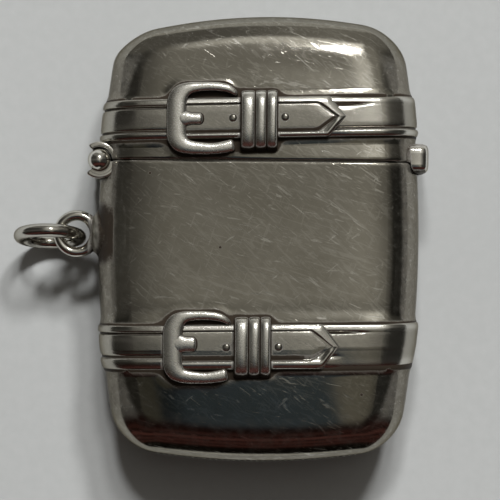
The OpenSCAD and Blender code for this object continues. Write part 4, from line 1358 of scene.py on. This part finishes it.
def ring_mesh(form, size, name):
    """Jump ring: round wire bent to a full circle about the axis it swings on. Along it the
    wire's thickness wavers a little, as a sum of two sine waves."""
    low, high = form.box("jump_ring")
    centre = (low + high) / 2
    radius = (high[0] - low[0]) / 2 - size.ring_wire
    swing = next(j for j in frame["joints"] if j["name"] == "ring_swing")
    axis = np.array(swing["axis"], float)
    axis /= np.linalg.norm(axis)
    first = np.array([1.0, 0, 0])
    second = np.cross(axis, first)
    second /= np.linalg.norm(second)
    a = circle(240)
    normal = np.cos(a)[:, None] * first + np.sin(a)[:, None] * second
    line = centre + radius * normal
    side = np.broadcast_to(axis, line.shape)
    wire = size.ring_wire * (1 + 0.012 * np.sin(3 * a + 0.6) + 0.008 * np.sin(7 * a))
    return lay_mesh(name, [(tube(line, normal, side, wire, 40), True, True)])


def striker_mesh(form, size, name):
    """Striker on the base: rounded ribs along the bow of the base, level across it, with
    rounded long edges."""
    half_x, _, half_z = form.box("striker")[1]
    ribs = int(round(2 * half_x / size.striker_pitch))
    x = np.linspace(-half_x, half_x, ribs * 10 + 1)[:, None]
    wave = (0.5 - 0.5 * np.cos(math.tau * (x + half_x) / size.striker_pitch)) ** 0.8
    z = np.sin(np.linspace(-1, 1, 15) * RIGHT_ANGLE)[None] * half_z
    edge = rounded_off(half_z - np.abs(z), 0.25 * MM)
    ends = rounded_off(half_x - np.abs(x), 0.25 * MM)
    base = form.base_line(x)
    height = (size.striker_rib * wave - 0.06 * MM) * edge * ends
    top = np.stack([x + 0 * z, -(base + height), z + 0 * x], -1)
    sole = np.stack([x + 0 * z, -(base - SUNK) + 0 * z, z + 0 * x], -1)
    loops = np.concatenate([top, sole[:, ::-1]], 1)
    mesh = lay_mesh(name, [(capped(loops), False, True)], crease=70)
    xs, ys, _ = vertices(mesh).T
    h = -ys - form.base_line(xs)
    tint(mesh, grime=0.85 * smoothstep(0.08 * MM, -0.02 * MM, h),
         wear=smoothstep(0.02 * MM, 0.1 * MM, h))
    return mesh


def rim_mesh(form, size, name):
    """Mouth rim: a thin belt inside the body that stands up into the lid, with rounded
    edges and a joggle at the parting line."""
    low, high = form.box("mouth_rim")
    fixed = -form.size.wall - FILM
    free = -form.size.wall - size.rim_clear
    round_off = 0.12 * MM
    a = np.linspace(0, RIGHT_ANGLE, 5)
    rise, drop = round_off * (1 - np.cos(a)), round_off * (1 - np.sin(a))
    below = np.linspace(low[1], form.parting_y - 0.1 * MM, 8)
    above = np.linspace(form.parting_y, high[1], 8)[:-1]
    inner = np.linspace(high[1], low[1], 14)[1:]
    edge = high[1] - drop
    y = np.concatenate([below, above, edge, edge[::-1], inner])
    grow = np.concatenate([np.full(len(below), fixed), np.full(len(above), free), free - rise,
                           (free - size.rim + rise)[::-1],
                           np.linspace(free - size.rim, fixed - size.rim, len(inner))])
    belt = form.belt(y[:, None], grow[:, None])
    return lay_mesh(name, [(belt, True, True)])


class MATCHCASE_OT_shells(Operator):
    """Draw the shells of the body and the lid"""
    bl_idname = "match_case.shells"
    bl_label = "Shells"

    def execute(self, context):
        form = case_form()
        fitting = context.scene.match_case.fitting
        straps = reliefs(form)
        for which, end in (("lower", -1), ("upper", 1)):
            relief = straps[which]
            body, name = relief.body, relief.body + "_shell"
            mesh = shell_mesh(form, relief, end, name)
            channel = hinge_cutter(form, fitting.leaf + FILM, form.hinge_half + FILM, "channel")
            mesh = carve(mesh, channel)
            shell_fields(form, relief, mesh)
            hang(name, mesh, body, "shell", (body + "_front", body + "_back"))
        return {"FINISHED"}


class MATCHCASE_OT_straps(Operator):
    """Draw the straps with their pointed ends and studs"""
    bl_idname = "match_case.straps"
    bl_label = "Straps"

    def execute(self, context):
        form = case_form()
        for which, relief in reliefs(form).items():
            body, name = relief.body, "strap_" + which
            mesh = strap_mesh(form, relief, name)
            strap_fields(relief, mesh)
            hang(name, mesh, body, "strap")
            mesh = strap_end_mesh(relief, name + "_end")
            strap_end_fields(relief, mesh)
            hang(name + "_end", mesh, body, "strap")
            for at, place in relief.studs.items():
                stud = "stud_%s_%s" % (which, at)
                hang(stud, stud_mesh(relief, place, stud), body, "strap")
        return {"FINISHED"}


class MATCHCASE_OT_buckles(Operator):
    """Draw the buckles with their prongs and keepers"""
    bl_idname = "match_case.buckles"
    bl_label = "Buckles"

    def execute(self, context):
        form = case_form()
        for which, relief in reliefs(form).items():
            crest = relief.size.buckle_top
            frame_bar = buckle_mesh(relief, crest, "buckle_" + which)
            bar_fields(frame_bar)
            prong = prong_mesh(relief, crest, "prong_" + which)
            bar_fields(prong)
            keeper = keeper_mesh(relief, "keeper_" + which)
            keeper_fields(relief, keeper)
            for kind, mesh in (("buckle_", frame_bar), ("prong_", prong), ("keeper_", keeper)):
                hang(kind + which, mesh, relief.body, "fitting")
        return {"FINISHED"}


class MATCHCASE_OT_hinge(Operator):
    """Draw the hinge leaves and pin"""
    bl_idname = "match_case.hinge"
    bl_label = "Hinge"

    def execute(self, context):
        form = case_form()
        size = context.scene.match_case.fitting
        half = form.hinge_half
        middle = size.middle_knuckle / 2
        outer = middle + size.knuckle_gap
        clear = math.asin(form.parting / 2 / size.knuckle)
        leaves = (("lid", clear, size.lid_leaf, ((-middle, middle),)),
                  ("body", -clear, -size.body_leaf, ((-half, -outer), (outer, half))))
        for body, start, stop, spans in leaves:
            name = "hinge_leaf_" + body
            mesh = lay_mesh(name, leaf_grids(form, size, start, stop, spans))
            hinge_fields(form, mesh, size.knuckle + size.leaf_clear)
            hang(name, mesh, body, "ring")
        mesh = pin_mesh(form, size, "hinge_pin")
        z = np.abs(vertices(mesh)[:, 2])
        tint(mesh, grime=0.7 * smoothstep(half + 0.3 * MM, half, z),
             wear=smoothstep(half + 0.2 * MM, half + 0.8 * MM, z))
        hang("hinge_pin", mesh, "body", "ring")
        return {"FINISHED"}


class MATCHCASE_OT_fittings(Operator):
    """Draw the thumbpiece, the mouth rim and the striker"""
    bl_idname = "match_case.fittings"
    bl_label = "Thumbpiece, rim and striker"

    def execute(self, context):
        form = case_form()
        size = context.scene.match_case.fitting
        mesh = thumb_mesh(form, "thumbpiece")
        x, y, z = vertices(mesh).T
        out = x - form.wall_x(y, z)
        across, _, up = facing(mesh)
        # Painted shade on the thumbpiece's steep faces; dirt where it meets the wall.
        steep = 0.7 * smoothstep(0.86, 0.6, up) * smoothstep(0.75, 0.45, across)
        tint(mesh, grime=np.maximum(0.7 * smoothstep(0.35 * MM, 0.1 * MM, out), steep),
             wear=smoothstep(0.3 * MM, 0.9 * MM, out))
        hang("thumbpiece", mesh, "lid", "ring")
        mesh = rim_mesh(form, size, "mouth_rim")
        through = 2 * form.half_t
        mesh = carve(mesh, hinge_cutter(form, size.leaf + 2 * size.rim_clear, through, "slot"))
        hang("mouth_rim", mesh, "body", "shell")
        mesh = striker_mesh(form, size, "striker")
        hang("striker", mesh, "body", "fitting")
        return {"FINISHED"}


class MATCHCASE_OT_ring(Operator):
    """Draw the loop with its seat, and the ring"""
    bl_idname = "match_case.ring"
    bl_label = "Loop and ring"

    def execute(self, context):
        form = case_form()
        size = context.scene.match_case.fitting
        mesh = loop_seat_mesh(form, size, "loop_seat")
        x, y, z = vertices(mesh).T
        up = -x - form.wall_x(y, z)
        tint(mesh, grime=0.3 + 0.5 * smoothstep(0.5 * MM, 0.0, up), wear=0 * up)
        hang("loop_seat", mesh, "body", "solder")
        mesh = loop_mesh(form, size, "loop")
        x = vertices(mesh)[:, 0]
        base = -form.half_w - size.seat_height
        tint(mesh, grime=0.7 * smoothstep(base - 0.9 * MM, base - 0.1 * MM, x), wear=0.3 + 0 * x)
        hang("loop", mesh, "body", "ring")
        hang("jump_ring", ring_mesh(form, size, "jump_ring"), "ring", "ring")
        return {"FINISHED"}


# Lamps over the lid, each as its step to the right and to the lid for each step up, and its
# part of the power. The last one gives the silver its glint and nothing else.
LAMPS = ((0.43, 1.17, 0.43), (0.15, 1.00, 0.22), (-0.05, 0.90, 0.35), (0.174, 0.635, 0.075))

# Steps of the dark room towards the base, each from one x to another and with its colour.
BASE_FIELDS = ((0.25, 0.32, (0.026, 0.026, 0.024)), (0.0, -0.14, (0.016, 0.020, 0.024)),
               (-0.17, -0.20, (0.048, 0.046, 0.036)), (-0.30, -0.35, (0.022, 0.021, 0.018)))

# Red streaks farther down, each as its y and its level.
STREAKS = ((-0.57, 0.04), (-0.66, 0.09), (-0.74, 0.06), (-0.81, 0.05))

# Patches of light over the lid, namely a pane, a sill, a shelf and a lamp: each with its left,
# right, near and far edge, from where it is dark to where it is full, and its level.
PATCHES = (
    ((0.08, 0.18), (0.29, 0.23), (0.38, 0.56), (0.69, 0.64), 1.05),
    ((0.14, 0.20), (0.29, 0.25), (0.13, 0.20), (0.48, 0.36), 0.6),
    ((-0.02, 0.05), (0.29, 0.25), (0.13, 0.19), (0.32, 0.24), 0.25),
    ((-0.22, 0.0), (0.20, 0.08), (0.52, 0.62), (0.73, 0.67), 0.6))


class MATCHCASE_OT_stage(Operator):
    """Set up the floor, the light and the camera"""
    bl_idname = "match_case.stage"
    bl_label = "Stage"

    def execute(self, context):
        look = context.scene.match_case.stage
        form = case_form()
        self.floor(look)
        self.sky()
        for number, (across, along, part) in enumerate(LAMPS):
            panel = bpy.data.lights.new("lamp_%d" % number, "AREA")
            panel.energy, panel.shape, panel.size = look.lamps * part, "DISK", look.lamp_size
            lamp = bpy.data.objects.new(panel.name, panel)
            towards = Vector((across, along, 1)).normalized()
            lamp.location = look.lamp_away * towards
            lamp.rotation_euler = towards.to_track_quat("Z", "Y").to_euler()
            lamp.visible_glossy = number == len(LAMPS) - 1
            lamp.visible_diffuse = not lamp.visible_glossy
            lamp.visible_camera = False
            context.scene.collection.objects.link(lamp)
        lens = bpy.data.cameras.new("camera")
        lens.sensor_width = lens.sensor_height = 36
        lens.lens = lens.sensor_width * look.camera_height / look.view_width
        lens.clip_start = 0.01
        camera = bpy.data.objects.new("camera", lens)
        camera.location = form.middle + (look.camera_x, look.camera_y, look.camera_height)
        camera.rotation_euler = (0, 0, look.camera_roll)
        context.scene.collection.objects.link(camera)
        context.scene.camera = camera
        context.scene.view_settings.view_transform = "Standard"
        return {"FINISHED"}

    def floor(self, look):
        """Pale card under the case, a square of 3 metres with a faint grain."""
        side = np.linspace(-1.5, 1.5, 3)
        grid = np.stack(np.broadcast_arrays(side[:, None], side[None, :], 0.0), -1)
        mesh = lay_mesh("floor", [(grid[::-1], False, False)])
        if mesh.polygons[0].normal.z < 0:
            mesh.flip_normals()
        material = bpy.data.materials.new("card")
        material.use_nodes = True
        bench = Bench(material.node_tree)
        spot = bench.node("ShaderNodeTexCoord", out=3)
        grain = bench.node("ShaderNodeTexNoise", None, {
            "Vector": spot, "Scale": 900.0, "Detail": 4.0})
        cloud = bench.node("ShaderNodeTexNoise", None, {
            "Vector": spot, "Scale": 14.0, "Detail": 2.0})
        tone = 0.35 * grain + 0.65 * cloud
        pale = tuple(look.floor)
        base = bench.mix(tone.between(0.35, 0.65), tuple(0.96 * c for c in pale),
                         tuple(1.03 * c for c in pale))
        surface = bench.node("ShaderNodeBsdfPrincipled", None, {
            "Base Color": base, "Roughness": 0.75, "Specular IOR Level": 0.2})
        bench.node("ShaderNodeOutputMaterial", None, {"Surface": surface})
        mesh.materials.append(material)
        floor = bpy.data.objects.new("floor", mesh)
        bpy.context.scene.collection.objects.link(floor)

    def sky(self):
        """Room round the case. Across the case its brightness follows one ramp level with the
        camera and a lighter one over the lid, where a window stands at the right. Towards the
        base it is dark, with lighter fields and red streaks. A pale band goes all round low
        down."""
        world = bpy.data.worlds.new("room")
        bpy.context.scene.world = world
        world.use_nodes = True
        bench = Bench(world.node_tree)
        towards = bench.node("ShaderNodeTexCoord", out=0)
        x, y, z = (bench.node("ShaderNodeSeparateXYZ", None, {0: towards}, out=i)
                   for i in range(3))

        def ramp(levels):
            """Warm grey that changes across the case, given as steps of (x, level)."""
            stops = [(0.5 + 0.5 * at, (level, 0.97 * level, 0.88 * level)) for at, level in levels]
            return bench.node("ShaderNodeValToRGB", {"stops": stops}, {0: 0.5 + 0.5 * x})

        def add(room, part, level):
            """Room with a patch of light of a level."""
            lit = bench.vector("SCALE", {0: (level, level, 0.97 * level), "Scale": part})
            return bench.vector("ADD", {0: room, 1: lit})

        level = ramp(((-1, 0.05), (-0.5, 0.07), (-0.33, 0.075), (-0.26, 0.10), (-0.20, 0.14),
                      (-0.14, 0.19), (-0.05, 0.26), (0.05, 0.29), (0.14, 0.35), (0.22, 0.31),
                      (0.28, 0.20), (0.34, 0.14), (0.45, 0.10), (0.62, 0.025), (1, 0.02)))
        level = bench.vector("SCALE", {0: level, "Scale": y.between(-0.1, 0.1, 1.24, 0.86)})
        over = ramp(((-1, 0.03), (-0.5, 0.035), (-0.33, 0.07), (-0.23, 0.16), (-0.14, 0.26),
                     (0.05, 0.27), (0.28, 0.30), (0.42, 0.32), (0.55, 0.16), (0.7, 0.08),
                     (1, 0.05)))
        high = ramp(((-0.3, 0.12), (-0.05, 0.13), (0.1, 0.26), (0.4, 0.22), (1, 0.16)))
        low = bench.mix((x + 0.25 * y).between(0.02, 0.05), (0.042, 0.055, 0.066),
                        (0.155, 0.147, 0.122))
        for start, stop, tone in BASE_FIELDS:
            low = bench.mix(x.between(start, stop), low, tone)
        room = bench.mix(y.between(0.08, 0.20), level, over)
        room = bench.mix(y.between(0.58, 0.68), room, high)
        room = bench.mix(y.between(-0.08, -0.13), room, low)
        room = bench.mix(y.between(-0.36, -0.50), room, (0.014, 0.006, 0.005))
        for place, red in STREAKS:
            streak = abs(y - place - 0.04 * x).between(0.012, 0.035, 1.0, 0.0)
            room = bench.mix(streak, room, (red, 0.38 * red, 0.32 * red))
        room = bench.mix(y.between(-0.83, -0.90), room, (0.004, 0.003, 0.002))
        for left, right, near, far, bright in PATCHES:
            part = x.between(*left) * x.between(*right) * y.between(*near) * y.between(*far)
            room = add(room, part, bright)
        pale = bench.mix(abs(y).between(0.5, 0.8), (0.32, 0.32, 0.31), (0.44, 0.44, 0.42))
        edge = z + 0.17 * abs(x) + 0.13 * x.between(0.5, 0.9) - 0.06 * y + 0.45 * abs(x * y)
        room = bench.mix(edge.between(0.25, 0.29), pale, room)
        surface = bench.node("ShaderNodeBackground", None, {"Color": room, "Strength": 1.2})
        bench.node("ShaderNodeOutputWorld", None, {"Surface": surface})


class MATCHCASE_PT_panel(Panel):
    """The drawing steps, in order"""
    bl_idname = "MATCHCASE_PT_panel"
    bl_label = "Match case"
    bl_space_type = "VIEW_3D"
    bl_region_type = "UI"
    bl_category = "Match case"

    def draw(self, context):
        for step in STEPS:
            self.layout.operator(step.bl_idname)


STEPS = (MATCHCASE_OT_stage, MATCHCASE_OT_shells, MATCHCASE_OT_straps, MATCHCASE_OT_buckles,
         MATCHCASE_OT_hinge, MATCHCASE_OT_fittings, MATCHCASE_OT_ring)
CLASSES = (CaseSizes, ReliefSizes, FittingSizes, SilverLook, StageLook, MatchCase, *STEPS,
           MATCHCASE_PT_panel)


def register():
    """Registers the classes and hangs the settings on the scene."""
    for item in CLASSES:
        bpy.utils.register_class(item)
    bpy.types.Scene.match_case = PointerProperty(type=MatchCase)


def unregister():
    """Takes the settings and the classes away again."""
    del bpy.types.Scene.match_case
    for item in reversed(CLASSES):
        bpy.utils.unregister_class(item)


def main():
    """Draws everything in order."""
    register()
    bpy.ops.match_case.stage()
    bpy.ops.match_case.shells()
    bpy.ops.match_case.straps()
    bpy.ops.match_case.buckles()
    bpy.ops.match_case.hinge()
    bpy.ops.match_case.fittings()
    bpy.ops.match_case.ring()


if __name__ == "__main__":
    main()
